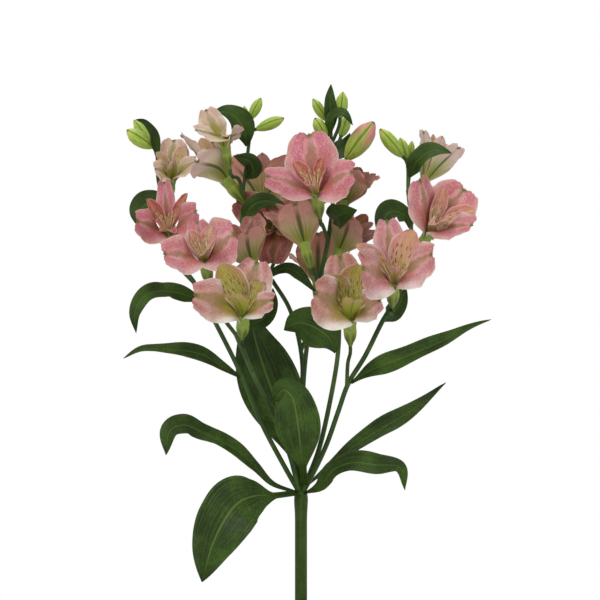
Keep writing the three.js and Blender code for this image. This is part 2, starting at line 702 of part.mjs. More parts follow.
// Shares of a bud's length, with its share of the full radius there.
const BUD_STATIONS = [[0, 0.42], [0.25, 0.88], [0.55, 1], [0.85, 0.6], [1, 0.16]];
const BUD_SIDES = 7;

function budSolid({ base, tip, radius }, clear) {
	const start = base.clone().addScaledVector(tip.clone().sub(base).normalize(), CLEARANCE);
	const stations = BUD_STATIONS.map(([share, part]) => [share, radius * part + clear]);
	return swelling(start, tip, stations, BUD_SIDES);
}

// The stem with its rays, pedicels and ovaries, which grew as one piece

// The limbs of the stem, from the rays to the pedicels. Each pedicel starts on the limb nearest to the
// start of its own way and ends straight in what it carries.
function stemLimbs() {
	const limbs = [];
	const grow = (path, startRadius, endRadius, sides, beyond = []) => {
		limbs.push({ path, line: spaced(smoothCurve(path)), startRadius, endRadius, sides, beyond });
	};
	const pedicelPath = (way, base, direction) => [
		nearestOn(limbs, way[0]).place,
		...way.slice(1),
		base.clone().addScaledVector(direction, -STALK.lead),
		base,
	];
	for (const path of RAYS) grow([WHORL, ...path], STALK.ray, STALK.branch, STALK.sides);
	grow(SIDE_SHOOT, STALK.branch, STALK.branch, STALK.sides);
	for (const bloom of Object.values(BLOOMS)) {
		const { axis } = bloomFrame(bloom);
		const size = bloom.size ?? 1;
		const length = OVARY.length * size;
		const base = bloom.seat.clone().addScaledVector(axis, -length);
		const ovary = [[0.6 * length, OVARY.radius * size], [length, OVARY.radius * 0.92 * size]];
		const path = pedicelPath(bloom.stalk, base, axis);
		grow(path, STALK.pedicel * 1.15, STALK.pedicel, STALK.sides, ovary);
	}
	for (const { base, tip, stalk: way } of Object.values(BUDS)) {
		const path = pedicelPath(way, base, tip.clone().sub(base).normalize());
		grow(path, STALK.pedicel, STALK.pedicel, STALK.budSides);
	}
	return limbs;
}

const LIMBS = stemLimbs();
const TRUNK = {
	line: [new THREE.Vector3(0, 0, STEM.foot), WHORL],
	startRadius: STEM.whorlRadius, endRadius: STEM.whorlRadius,
};

function mainStem(clear) {
	const { foot, radius, whorlRadius, swell, neck, cap, sides } = STEM;
	const stations = [
		[foot, radius], [WHORL.z - swell, radius], [WHORL.z - neck, whorlRadius],
		[WHORL.z, whorlRadius], [WHORL.z + cap, whorlRadius * 0.6],
	];
	const [right, back] = [new THREE.Vector3(1, 0, 0), new THREE.Vector3(0, 1, 0)];
	return loft(stations.map(([height, girth]) => ringAround(
		new THREE.Vector3(0, 0, height), right, back, girth + clear, sides)));
}

function stemSolid(clear) {
	const pieces = [mainStem(clear)];
	for (const { path, startRadius, endRadius, sides, beyond } of LIMBS) {
		const ending = beyond.map(([distance, radius]) => [distance, radius + clear]);
		pieces.push(stalk(path, startRadius + clear, endRadius + clear, sides, ending));
	}
	return pieces.reduce((whole, piece) => whole.add(piece));
}

// The pot and its soil

function turned(profile, sides) {
	const geometry = new THREE.LatheGeometry(profile.map(([r, z]) => new THREE.Vector2(r, z)), sides);
	geometry.rotateX(Math.PI / 2);
	return solidOf(geometry);
}

function potSolid() {
	const { height, rimRadius, shoulderRadius, baseRadius, wall, floor, collar, edge, sides } = POT;
	const shoulder = height - collar;
	let pot = turned([
		[0, 0], [baseRadius - edge, 0], [baseRadius, edge], [shoulderRadius, shoulder],
		[rimRadius - edge, shoulder], [rimRadius, shoulder + edge], [rimRadius, height - edge],
		[rimRadius - edge, height], [potInside(height), height], [potInside(floor), floor], [0, floor],
	], sides);
	for (let k = 0; k < POT.drains; k++) {
		const angle = ((k + 0.5) / POT.drains) * 2 * Math.PI;
		const drill = new THREE.CylinderGeometry(POT.drainRadius, POT.drainRadius, floor * 3, 8);
		drill.rotateX(Math.PI / 2);
		drill.translate(POT.drainCircle * Math.cos(angle), POT.drainCircle * Math.sin(angle), 0);
		pot = pot.subtract(solidOf(drill));
	}
	return pot;
}

// Radius of the pot's inside at a height.
function potInside(height) {
	const shoulder = POT.height - POT.collar;
	const slope = (POT.shoulderRadius - POT.baseRadius) / shoulder;
	return POT.baseRadius + slope * height - POT.wall;
}

function soilSolid() {
	const { top, crown, gap, sides } = SOIL;
	const low = POT.floor + gap;
	const soil = turned([
		[0, low], [potInside(low) - 2 * gap, low], [potInside(top) - 2 * gap, top],
		[potInside(top) * 0.6, top + crown * 0.7], [potInside(top) * 0.2, top + crown], [0, top + crown],
	], sides);
	const hole = new THREE.CylinderGeometry(STEM.holeRadius, STEM.holeRadius, 2 * top, 16);
	hole.rotateX(Math.PI / 2);
	hole.translate(0, 0, STEM.foot - CLEARANCE + top);
	return soil.subtract(solidOf(hole));
}

// Assembly

const potted = new THREE.Group();

function show(name, solid, colour) {
	const mesh = new THREE.Mesh(
		meshGeometry(solid), new THREE.MeshStandardMaterial({ ...COLOURS[colour], metalness: 0 }));
	mesh.name = name;
	potted.add(mesh);
}

function largestBody(solid) {
	return solid.decompose().reduce((best, body) => (body.volume() > best.volume() ? body : best));
}

function boxesMeet(a, b) {
	return [0, 1, 2].every((axis) => a.min[axis] < b.max[axis] && b.min[axis] < a.max[axis]);
}

// Each piece with the way it is made. A later piece is trimmed where it would come closer to an earlier
// one than the clearance.
const GROWN = [['stem', stemSolid, 'stem']];
for (const [group, colour, solid, pieces] of [
	['bloom', 'bloom', bloomSolid, BLOOMS],
	['bud', 'bud', budSolid, BUDS],
	['bract', 'leaf', leafSolid, BRACTS],
	['leaf', 'leaf', leafSolid, LEAVES],
]) {
	for (const [name, piece] of Object.entries(pieces)) {
		GROWN.push([`${group}_${name}`, (clear) => solid(piece, clear), colour]);
	}
}

const placed = [];
for (const [name, make, colour] of GROWN) {
	let solid = make(0);
	for (const grown of placed) {
		if (!boxesMeet(solid.boundingBox(), grown.boundingBox())) continue;
		if (solid.intersect(grown).isEmpty()) continue;
		solid = largestBody(solid.subtract(grown));
	}
	placed.push(make(CLEARANCE));
	show(name, largestBody(solid.simplify(SMOOTHING)), colour);
}
show('pot', potSolid(), 'clay');
show('soil', soilSolid(), 'soil');

export default potted;
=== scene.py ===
"""A Peruvian lily in a plain clay pot, dressed around its CAD frame.

The stems, leaves, buds and blooms grow on the same lines as the solids that they stand for, with fine
edges, veins and markings. Lengths are millimetres until a mesh is made, which is in metres.
"""

import math
import random

import bpy
import numpy as np
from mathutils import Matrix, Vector, noise


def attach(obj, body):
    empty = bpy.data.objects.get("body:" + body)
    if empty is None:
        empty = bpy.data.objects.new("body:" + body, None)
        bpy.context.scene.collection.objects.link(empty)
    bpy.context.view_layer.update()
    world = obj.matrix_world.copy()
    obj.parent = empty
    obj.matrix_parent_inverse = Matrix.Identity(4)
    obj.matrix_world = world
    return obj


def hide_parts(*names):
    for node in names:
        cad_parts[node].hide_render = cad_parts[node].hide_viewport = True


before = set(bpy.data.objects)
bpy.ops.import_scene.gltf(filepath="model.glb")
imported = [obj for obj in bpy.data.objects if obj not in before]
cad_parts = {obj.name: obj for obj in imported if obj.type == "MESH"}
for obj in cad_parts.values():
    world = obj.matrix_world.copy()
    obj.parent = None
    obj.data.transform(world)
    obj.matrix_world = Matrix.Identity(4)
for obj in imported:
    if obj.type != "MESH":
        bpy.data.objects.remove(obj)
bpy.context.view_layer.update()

METRE = 0.001  # one millimetre

# Driving dimensions
POT = {
    "height": 126, "rim": 76, "shoulder": 70, "base": 51, "wall": 6, "floor": 8, "collar": 26, "edge": 1.5,
    "drain": 4.5, "drain_circle": 28, "drains": 4,
}
SOIL = {"top": 110, "crown": 4, "gap": 0.3, "hole_gap": 0.25, "hole": 12, "sink": 0.5}
SOIL_LUMPS = ((1.1, 0.11), (0.7, 0.35), (0.35, 0.9))  # height and fineness of each sort
CRUMBS = {"count": 900, "size": 2.4, "clear": 3, "grit": 0.06}
STEM = {"foot": 40, "radius": 3.9, "whorl": 4.6, "swell": 14, "neck": 3, "cap": 5}
STALK = {"ray": 1.65, "branch": 1.4, "pedicel": 1.15, "lead": 5}
OVARY = {"length": 14, "radius": 4.2}
TUBE = {"length": 6.5, "foot": 3.9, "mouth": 4.5}
FILAMENT = {"length": 20, "root": 1.1, "splay": 0.26, "bow": 0.085, "radii": (0.5, 0.3)}
ANTHER = {"length": 3.4, "sunk": 0.4}
LEAF = {"thickness": 0.5, "trough": 0.22, "ripple": 0.05, "crinkle": 0.012, "rib": 0.35, "rib_width": 0.9}
TEPAL = {"thickness": 0.42, "rib": 0.45, "rib_width": 1.1, "ragged": 0.35, "uneven": 0.025}
OUTER = {
    "whorl": "outer", "width": 33, "claw": 0.24, "peak": 0.64, "tip": 0.55, "notch": 1.4, "point": 0,
    "root": 2, "throat": 16, "cup": -0.08, "keel": 0.14, "ruffle": 0.03, "base": [90, 210, 330],
    "lanes": 27, "outside": 0,
}
INNER = {
    "whorl": "inner", "width": 15, "claw": 0.16, "peak": 0.68, "tip": 0.24, "notch": 0, "point": 1.2,
    "root": 1, "throat": 19, "cup": 0.2, "keel": 0, "ruffle": 0.03, "base": [30, 150, 270],
    "lanes": 15, "outside": 2,
}

# Finishes of each kind of shape, by their place in its list. The outside of a whorl's tepals comes just
# before their inside, and the parts in a bloom's throat follow the two whorls.
UPPER, UNDER = range(2)
TRUNK_SKIN, LIMB_SKIN, OVARY_SKIN = range(3)
THROAT_SKIN, FILAMENT_SKIN, ANTHER_SKIN, POINT_SKIN = range(4, 8)
SOIL_SKIN, GRIT_SKIN = range(2)

# Rows along a skin and lanes across it, or sides round it.
TEPAL_ROWS = 44
LEAF_ROWS, BRACT_ROWS = 72, 40
BROAD, BROAD_LANES, NARROW_LANES = 24, 25, 15  # a leaf wider than BROAD has more lanes
STEM_ROWS = 60
POT_SIDES = 128
SOIL_RINGS, SOIL_SIDES = 60, 180

# The view that places were read from: pixel columns and rows of the photograph, seen level from in front,
# with the scale at the stem and the depth behind it (+) or before it (-).
PHOTO = {"scale": 0.65, "middle": 300, "stem_column": 301, "height": 336, "distance": 1500, "size": 600}
SHIFT = (PHOTO["middle"] - PHOTO["stem_column"]) * PHOTO["scale"]


def at(column, row, depth=0):
    """The place that is seen at a pixel, so deep."""
    reach = PHOTO["scale"] * (1 + depth / PHOTO["distance"])
    across, down = (column - PHOTO["middle"]) * reach, (row - PHOTO["middle"]) * reach
    return np.array((SHIFT + across, depth, PHOTO["height"] - down))


def table(heads, rows):
    """Rows of values under shared heads, each as a dictionary."""
    return {name: dict(zip(heads, row)) for name, row in rows.items()}


# Blooms: tone names the tepals' colours, size and throat are shares of the usual size and of the usual
# throat's length, and a bare bloom shows no stamens. seat is the top of the ovary and stalk leads to it. The
# tepals of a bloom in full view are given by where their tips are seen, with the depth behind (+) or before
# (-) the seat. The outer three go round from the one at the back, and the inner three from its right. A
# fourth number turns a tepal's inside (+) or outside (-) towards the viewer by that share of the way, a
# fifth is its share of the usual width, and a sixth folds its two halves inwards (+) or outwards (-).
FULL_VIEW = table(("tone", "size", "throat", "bare", "seat", "stalk", "outer", "inner"), {
    "crown": (
        "rose", 1, 0.8, False, at(317, 200, -34), [at(328, 240, -4), at(322, 224, -18)],
        [(309, 134, 5, 0.4, 1.05), (267, 176, -24, 0.6, 0.66, -0.2), (352, 172, -28, 0.6, 0.84, -0.2)],
        [(323, 157, -10, 0.3, 0.6), (293, 162, -8, 0.3, 0.75), (306, 185, -32, 0.3, 0.5)],
    ),
    "right": (
        "peach", 0.92, 0.85, False, at(426, 238, -22), [at(409, 262, -14), at(416, 258, -18)],
        [(465, 189, -4, 0.5, 1.2), (420, 180, -22, 0.5, 0.82, -0.2), (472, 225, -35, 0.5, 0.8)],
        [(475, 210, -22, 0.4, 1.2), (444, 187, -12, 0.4, 0.8), (448, 220, -34, 0.4, 0.8)],
    ),
    "front_right": (
        "blush", 1, 1, False, at(393, 290, -48), [at(382, 322, -38), at(388, 313, -44)],
        [(387, 221, 4, 0.3, 0.66), (363, 268, -38, 0.8, 1.05, -0.15), (432, 254, -28, 0.5, 0.88, -0.15)],
        [(414, 230, -14, 0.6, 1.35), (356, 246, -36, 0.5, 0.9), (395, 267, -32, 0, 0.5)],
    ),
    "front_centre": (
        "fresh", 1, 1, False, at(350, 327, -48), [at(346, 386, -30), at(348, 362, -46)],
        [(340, 256, 4, 0.4, 0.8), (316, 293, -30, 0.8, 1, -0.15), (380, 300, -19, 0.8, 0.64, -0.15)],
        [(359, 264, -8, 0.6, 1.5), (333, 275, -10, 0.5, 1.1), (355, 299, -34, -0.4, 0.9)],
    ),
    "front_left": (
        "fresh", 1, 1, False, at(243, 322, -52), [at(252, 372, -34), at(244, 350, -50)],
        [(257, 262, 2, 0.6, 0.85), (195, 295, -30, 0.8, 0.84, -0.15), (272, 300, -26, 0.7, 0.5, -0.15)],
        [(263, 280, -2, 0, 0.8), (219, 265, -12, 0.6, 1.35), (229, 294, -34, -0.3, 0.8)],
    ),
    "left": (
        "peach", 0.95, 0.75, False, at(206, 267, -38), [at(236, 335, -30), at(210, 300, -40)],
        [(197, 222, 2, 0.3, 0.6), (164, 254, -26, 0.7, 0.85), (234, 234, -16, 0.6, 1.2)],
        [(212, 225, -6, 0.4, 0.8), (189, 231, -12, 0.4, 0.8), (216, 238, -34, 0.4, 0.7)],
    ),
    "far_left": (
        "rose", 0.86, 0.5, False, at(169, 236, -4), [at(196, 285, -14), at(174, 262, -4)],
        [(164, 181, 4, 0.3, 0.45), (137, 221, -26, 0.8, 0.8, -0.1), (196, 211, -22, 0.7, 0.8, -0.1)],
        [(187, 193, -12, 0.3, 0.7), (147, 199, -14, 0.3, 0.85), (160, 226, -28, 0.3, 1.1)],
    ),
    "upper_left": (
        "pale", 0.7, 1, True, at(171, 186, 12), [at(178, 262, -2), at(172, 215, 12)],
        [(174, 140, 6, 0.5, 0.95), (155, 169, -14, 0.6, 0.7), (196, 161, -10, 0.6, 0.6, 0.25)],
        [(184, 146, 0, 0.3), (156, 152, -6, 0.3, 0.9), (173, 160, -18, 0.3, 0.8)],
    ),
    "top_left_low": (
        "pale", 1, 1, False, at(231, 186, 4), [at(244, 240, 4), at(242, 214, 2)],
        [(212, 141, 6, 0.3, 0.75), (182, 136, 2, -0.5, 0.7, 0.2), (197, 161, -24, -0.8, 0.75, 0.25)],
        [(222, 148, -9, 0.3, 0.8), (200, 138, 7, 0.3, 0.8), (204, 165, -14, 0.2, 0.6)],
    ),
    "top_left_high": (
        "pale", 0.76, 1, True, at(226, 153, -10), [at(246, 205, 8), at(238, 178, -2)],
        [(206, 110, 0, 0.5, 0.8), (196, 130, -18, 0.5, 0.6), (241, 133, 6, -0.4, 0.7)],
        [(222, 122, 8, 0.3, 0.6), (208, 132, -12, 0.3, 0.6), (224, 136, -16, -0.3, 0.6)],
    ),
})

# The other blooms open evenly round their face, by the angles of their outer and inner tips, which reach so
# far from the seat. turn is the place of the first tepal round the face.
PART_VIEW = table(("tone", "size", "bare", "seat", "stalk", "face", "turn", "open", "reach"), {
    # Blooms in the dusky tone carry painted shade in their colours.
    "back_left": (
        "dusky", 0.9, True, at(262, 206, 34), [at(262, 290, 28), at(262, 245, 36)],
        (0, 0.66, 0.75), 60, (40, 24), 38,
    ),
    "middle_left": (
        "dusky", 0.78, False, at(277, 226, 30), [at(262, 300, 24), at(276, 256, 38)],
        (-0.1, -0.95, 0.1), 60, (50, 28), 36,
    ),
    "lower_left": (
        "dusky", 0.86, True, at(254, 268, -22), [at(256, 330, -24), at(256, 294, -24)],
        (-0.42, -0.25, 0.87), 20, (36, 24), 34,
    ),
    "centre": (
        "dusky", 0.86, True, at(306, 250, -18), [at(320, 288, -4), at(314, 268, -14)],
        (-0.24, 0, 0.97), -90, (34, 22), 36,
    ),
    "back_right": (
        "dusky", 0.8, True, at(343, 207, 14), [at(337, 268, 8), at(339, 236, 14)],
        (0.3, -0.12, 0.9), 100, (30, 22), 30,
    ),
    "middle_right": (
        "dusky", 0.76, True, at(337, 255, 2), [at(338, 312, -2), at(337, 280, 0)],
        (0.5, -0.16, 0.84), 90, (34, 22), 34,
    ),
    "back_centre": (
        "dusky", 0.88, True, at(318, 287, 20), [at(306, 350, 12), at(316, 312, 20)],
        (0, 0.5, 0.86), 0, (36, 22), 36,
    ),
    "far_right": (
        "pale", 0.72, True, at(423, 183, 16), [at(410, 228, 0), at(417, 203, 14)],
        (0.42, 0, 0.9), 20, (26, 16), 34,
    ),
})
BLOOMS = {**FULL_VIEW, **PART_VIEW}

# Buds: girth, base and tip of each, and the stalk that leads to it.
BUDS = table(("radius", "base", "tip", "stalk"), {
    "top_left_fat": (5.2, at(152, 147, 8), at(127, 130, 2), [at(172, 226, 10), at(158, 180, 12)]),
    "top_left_back": (4, at(152, 146, 16), at(134, 120, 18), [at(156, 172, 12)]),
    "crown_left_long": (3.9, at(257, 129, 8), at(284, 118, 4), [at(246, 190, 8), at(249, 142, 10)]),
    "crown_left_small": (3.5, at(250, 119, 12), at(261, 98, 10), [at(249, 142, 10)]),
    "crown_left_tiny": (2, at(248, 122, 17), at(244, 106, 22), [at(249, 142, 10)]),
    "crown_low": (4.2, at(326, 138, -2), at(315, 118, -8), [at(333, 170, 2)]),
    "crown_left": (3.4, at(326, 120, 6), at(313, 99, 2), [at(331, 150, 6)]),
    "crown_right": (4.2, at(340, 118, 10), at(343, 92, 14), [at(333, 150, 8)]),
    "crown_behind": (3.8, at(341, 136, 18), at(348, 116, 26), [at(334, 165, 8)]),
    "pink_tipped": (7.2, at(347, 158, 2), at(374, 122, -4), [at(336, 200, 2), at(341, 172, 2)]),
    "far_right_long": (4.6, at(402, 156, 2), at(380, 129, -4), [at(408, 190, 4)]),
    "far_right_middle": (3.6, at(407, 159, 10), at(400, 138, 10), [at(408, 188, 4)]),
    "far_right_small": (2.4, at(410, 159, 15), at(412, 141, 19), [at(409, 186, 5)]),
})

# Small leaves among the blooms: greatest width, how the face turns from the viewer (0) to the sky (90)
# along the spine, and the spine from root to tip.
BRACTS = table(("width", "tilt", "spine"), {
    "top_left": (9, [30, 50, 40], [at(158, 160, 8), at(154, 138, 4), at(146, 124, 0), at(136, 119, -4)]),
    "far_left": (17, [20, 10, 0], [at(168, 200, 14), at(154, 200, 16), at(141, 209, 16), at(138, 227, 12)]),
    "crown_left": (17, [0, 20, 40], [at(249, 146, 8), at(243, 127, 4), at(231, 114, 0), at(215, 110, -4)]),
    "crown_left_low": (
        12, [0, 0, 0],
        [at(246, 179, 6), at(253, 171, 0), at(250, 162, -4), at(234, 156, -8)],
    ),
    "left_arch": (12, [0, 20, 10], [at(243, 226, 4), at(249, 209, 0), at(264, 201, -4), at(286, 205, -8)]),
    "crown_tall": (9, [0, 10, 0], [at(332, 134, 6), at(331, 116, -2), at(330, 100, -4), at(331, 84, -4)]),
    "crown_arch": (
        8.5, [20, 45, 20],
        [at(327, 130, 0), at(333, 116, -11), at(343, 113, -15), at(353, 125, -17)],
    ),
    "crown_back": (
        13, [0, 10, 0],
        [at(336, 163, 10), at(341, 150, 22), at(347, 142, 27), at(350, 133, 28)],
    ),
    "right_round": (
        17, [0, 0, 0],
        [at(332, 221, -4), at(338, 216, -20), at(346, 213, -27), at(357, 210, -29)],
    ),
    "far_right": (
        15, [20, 40, 40],
        [at(408, 177, 0), at(418, 160, -8), at(434, 150, -10), at(452, 153, -8)],
    ),
    "right_fold": (
        16, [20, 30, 0],
        [at(414, 228, -6), at(406, 216, -8), at(390, 212, -16), at(377, 235, -28)],
    ),
    "front_right": (
        12, [0, 10, 10],
        [at(384, 322, -36), at(393, 313, -24), at(401, 301, -18), at(406, 287, -14)],
    ),
    "centre_low": (9, [20, 30, 20], [at(304, 288, 4), at(292, 270, 4), at(279, 270, 2), at(265, 280, -2)]),
    "behind_front_left": (
        11, [0, 0, 0],
        [at(253, 334, -24), at(264, 318, -18), at(272, 304, -16), at(273, 288, -14)],
    ),
})

# The whorl's long leaves and those on the rays, with how far along they are widest and how much of their
# length is petiole.
LEAVES = table(("width", "peak", "petiole", "tilt", "spine"), {
    "left_upper": (
        14, 0.4, 0, [30, 10, 55, 30, 0, 0],
        [at(207, 302, -18), at(192, 297, -22), at(164, 291, -30), at(145, 296, -38), at(135, 312, -42),
         at(136, 333, -44)],
    ),
    "left_long": (
        12, 0.42, 0, [30, 40, 40, 55, 45],
        [at(241, 377, -16), at(223, 367, -24), at(200, 354, -32), at(170, 350, -42), at(143, 349, -50),
         at(123, 358, -56)],
    ),
    "left_low": (
        16, 0.76, 0, [60, 50, 50, 55, 40, 0],
        [at(294, 494, -2), at(272, 484, -10), at(254, 466, -18), at(236, 450, -26), at(202, 433, -38),
         at(184, 425, -46), at(170, 431, -52), at(166, 455, -54)],
    ),
    "front_left_hanging": (
        36, 0.56, 0.2, [60, 50, 20, 0, 0, 0],
        [at(294, 498, -6), at(276, 496, -18), at(255, 496, -32), at(238, 503, -42), at(225, 519, -48),
         at(212, 546, -50), at(202, 582, -48)],
    ),
    "big_upright": (
        40, 0.56, 0.14, [0, 0, 0, 0],
        [at(299, 486, 1), at(297, 464, 1), at(288, 434, 5), at(275, 398, 6), at(262, 362, 4),
         at(254, 334, -4), at(250, 310, -10)],
    ),
    "centre_folded": (
        29, 0.58, 0.22, [0, -10, 0, 0],
        [at(302, 487, -8), at(303, 466, -20), at(300, 441, -28), at(297, 417, -32), at(292, 397, -33),
         at(284, 390, -31), at(272, 402, -29)],
    ),
    "centre_round": (
        26, 0.5, 0, [30, 10, 0, 0],
        [at(339, 352, -8), at(328, 337, -14), at(312, 326, -20), at(297, 323, -24), at(284, 330, -26)],
    ),
    "right_upper": (
        15, 0.34, 0, [50, 30, 40, 50, 50],
        [at(350, 383, -32), at(370, 371, -38), at(400, 359, -44), at(438, 343, -50), at(468, 328, -54),
         at(491, 319, -56)],
    ),
    "right_middle": (
        14, 0.56, 0, [60, 60, 40, 30, 40, 50],
        [at(309, 488, 2), at(336, 462, 14), at(353, 447, 18), at(377, 431, 24), at(404, 415, 32),
         at(429, 397, 38), at(446, 382, 42)],
    ),
    "right_low": (
        17, 0.5, 0, [60, 40, 50, 40, 30, 0],
        [at(308, 499, -4), at(320, 486, -14), at(334, 470, -24), at(352, 463, -34), at(376, 465, -42),
         at(400, 468, -50), at(405, 490, -52)],
    ),
})

# Rays of the umbel, from the whorl to their last fork, and a side shoot.
WHORL = at(301, 494, 0)
RAYS = [
    [
        at(298, 490, -2), at(282, 462, -6), at(262, 424, -12), at(240, 372, -16), at(214, 320, -18),
        at(196, 285, -14), at(178, 262, -4),
    ],
    [at(299, 490, -3), at(290, 456, -10), at(272, 412, -22), at(252, 372, -34), at(236, 335, -30)],
    [
        at(300, 489, 2), at(290, 440, 18), at(274, 380, 22), at(262, 320, 18), at(250, 270, 10),
        at(244, 238, 5), at(246, 200, 8),
    ],
    [
        at(302, 489, 2), at(303, 440, 2), at(303, 390, 2), at(307, 345, 3), at(314, 306, 0),
        at(323, 265, -3), at(328, 240, -4), at(333, 200, 0), at(333, 165, 4),
    ],
    [
        at(303, 489, -1), at(318, 452, -6), at(331, 396, -8), at(338, 352, -8), at(339, 316, -2),
        at(337, 280, 4),
    ],
    [
        at(304, 490, -3), at(325, 448, -16), at(338, 412, -24), at(348, 384, -31), at(365, 356, -38),
        at(382, 322, -38), at(397, 296, -30), at(409, 256, -14), at(411, 222, -4), at(408, 190, 4),
    ],
    [at(300, 489, 4), at(300, 420, 16), at(302, 360, 18), at(290, 310, 20), at(272, 280, 22)],
]
SIDE_SHOOT = [at(272, 280, 22), at(262, 290, 26)]


# Vectors


def unit(vectors):
    return vectors / np.linalg.norm(vectors, axis=-1, keepdims=True)


def perpendicular(axis, hint):
    """The part of hint that stands square to axis."""
    hint = np.broadcast_to(np.array(hint, float), np.shape(axis))
    return unit(hint - axis * np.sum(hint * axis, axis=-1, keepdims=True))


def spun(vector, axis, angle):
    """vector turned about a unit axis; angle may be an array."""
    angle = np.asarray(angle)[..., None]
    along = axis * np.sum(vector * axis, axis=-1, keepdims=True)
    return along + (vector - along) * np.cos(angle) + np.cross(axis, vector) * np.sin(angle)


def smooth(value, low, high):
    """Rises smoothly from 0 at low to 1 at high."""
    share = np.clip((value - low) / (high - low), 0, 1)
    return share * share * (3 - 2 * share)


def bezier(points, ts):
    """Places and directions on a curve of three points."""
    start, pull, end = (np.array(point, float) for point in points)
    t = ts[:, None]
    places = start * (1 - t) ** 2 + pull * 2 * t * (1 - t) + end * t ** 2
    return places, unit(2 * (1 - t) * (pull - start) + 2 * t * (end - pull))


def circle(sides):
    """Angles of the corners of a round."""
    return np.linspace(0, 2 * math.pi, sides, endpoint=False)


class Curve:
    """A smooth curve through points, read by the share of its length."""

    SAMPLES = 32  # between two points

    def __init__(self, points):
        points = [np.array(point, float) for point in points]
        ends = [2 * points[0] - points[1], *points, 2 * points[-1] - points[-2]]
        places = []
        for before, start, end, after in zip(ends, ends[1:], ends[2:], ends[3:]):
            places.extend(self.stretch(before, start, end, after))
        places.append(points[-1])
        self.places = np.array(places)
        steps = np.linalg.norm(np.diff(self.places, axis=0), axis=1)
        self.marks = np.concatenate([[0], np.cumsum(steps)])
        self.length = self.marks[-1]
        self.headings = unit(np.gradient(self.places, self.marks, axis=0))

    def stretch(self, before, start, end, after):
        """Places from start up to end, on a centripetal spline."""
        steps = (start - before, end - start, after - end)
        gaps = [max(1e-6, np.linalg.norm(step)) ** 0.5 for step in steps]
        leave = (start - before) / gaps[0] - (end - before) / (gaps[0] + gaps[1]) + (end - start) / gaps[1]
        arrive = (end - start) / gaps[1] - (after - start) / (gaps[1] + gaps[2]) + (after - end) / gaps[2]
        leave, arrive = leave * gaps[1], arrive * gaps[1]
        for share in np.linspace(0, 1, self.SAMPLES, endpoint=False):
            square, cube = share ** 2, share ** 3
            yield (start * (2 * cube - 3 * square + 1) + end * (3 * square - 2 * cube)
                   + leave * (cube - 2 * square + share) + arrive * (cube - square))

    def read(self, values, shares):
        marks = np.asarray(shares) * self.length
        return np.stack([np.interp(marks, self.marks, values[:, axis]) for axis in range(3)], axis=-1)

    def place(self, shares):
        return self.read(self.places, shares)

    def heading(self, shares):
        return unit(self.read(self.headings, shares))


# Meshes


def placed(name, data):
    """A new object of the scene."""
    made = bpy.data.objects.new(name, data)
    bpy.context.scene.collection.objects.link(made)
    return made


class Shape:
    """Skins gathered into one mesh. Each face has a finish, and each corner a place (u, t) on its skin."""

    def __init__(self, name, finishes=()):
        self.name = name
        self.finishes = finishes
        self.points = []
        self.count = 0
        self.faces = []
        self.corners = []
        self.kinds = []

    def add(self, points):
        """Numbers of new points, in the same layout."""
        points = np.asarray(points, float)
        numbers = np.arange(self.count, self.count + points[..., 0].size).reshape(points.shape[:-1])
        self.points.append(points.reshape(-1, 3))
        self.count += numbers.size
        return numbers

    def skin(self, numbers, places, finish, turned=False):
        """Quads over a grid of numbered points."""

        def quads(grid):
            ring = [grid[:-1, :-1], grid[:-1, 1:], grid[1:, 1:], grid[1:, :-1]]
            return np.stack(ring[::-1] if turned else ring, axis=2)

        faces = quads(numbers).reshape(-1, 4).tolist()
        self.faces.extend(map(tuple, faces))
        self.corners.append(quads(places).reshape(-1, 2))
        self.kinds.extend([finish] * len(faces))

    def barrel(self, points, marks, finish):
        """A closed skin over rings of points, read along by their marks, with a cap at either end."""
        places = np.stack(np.meshgrid(np.linspace(0, 1, points.shape[1] + 1), marks), axis=-1)
        numbers = self.add(points)
        self.skin(np.concatenate([numbers, numbers[:, :1]], axis=1), places, finish)
        for ring, mark in ((numbers[0, ::-1], 0), (numbers[-1], 1)):
            self.faces.append(tuple(ring.tolist()))
            self.corners.append(np.tile((0.5, mark), (len(ring), 1)))
            self.kinds.append(finish)

    def mesh(self):
        mesh = bpy.data.meshes.new(self.name)
        mesh.from_pydata((np.concatenate(self.points) * METRE).tolist(), [], self.faces)
        return mesh

    def made(self, slot, node, sharp=50):
        """The finished object, riding on the part, in place of the named node."""
        mesh = self.mesh()
        mesh.uv_layers.new(name="skin").data.foreach_set("uv", np.concatenate(self.corners).ravel())
        for finish in self.finishes:
            mesh.materials.append(finish)
        mesh.polygons.foreach_set("material_index", self.kinds)
        mesh.polygons.foreach_set("use_smooth", [True] * len(self.faces))
        mesh.set_sharp_from_angle(angle=math.radians(sharp))
        mesh.update()
        made = placed(self.name, mesh)
        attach(made, "root")
        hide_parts(node)
        return made


def blade(shape, grid, us, ts, thickness, upper, under):
    """A thin closed skin over a grid of middle points, sharp at its rim, with a finish on either face."""
    across = np.gradient(grid, us, axis=1)
    along = np.gradient(grid, ts, axis=0)
    normal = unit(np.cross(across, along))
    inside = np.zeros(grid.shape[:2], bool)
    inside[1:-1, 1:-1] = True
    half = (thickness / 2 * np.sqrt(1 - 0.75 * np.abs(us) ** 8))[None, :] * inside
    places = np.stack(np.meshgrid(us, ts), axis=-1)
    top = shape.add(grid + normal * half[..., None])
    bottom = top.copy()
    bottom[1:-1, 1:-1] = shape.add((grid - normal * half[..., None])[1:-1, 1:-1])
    shape.skin(top, places, upper)
    shape.skin(bottom, places, under, turned=True)


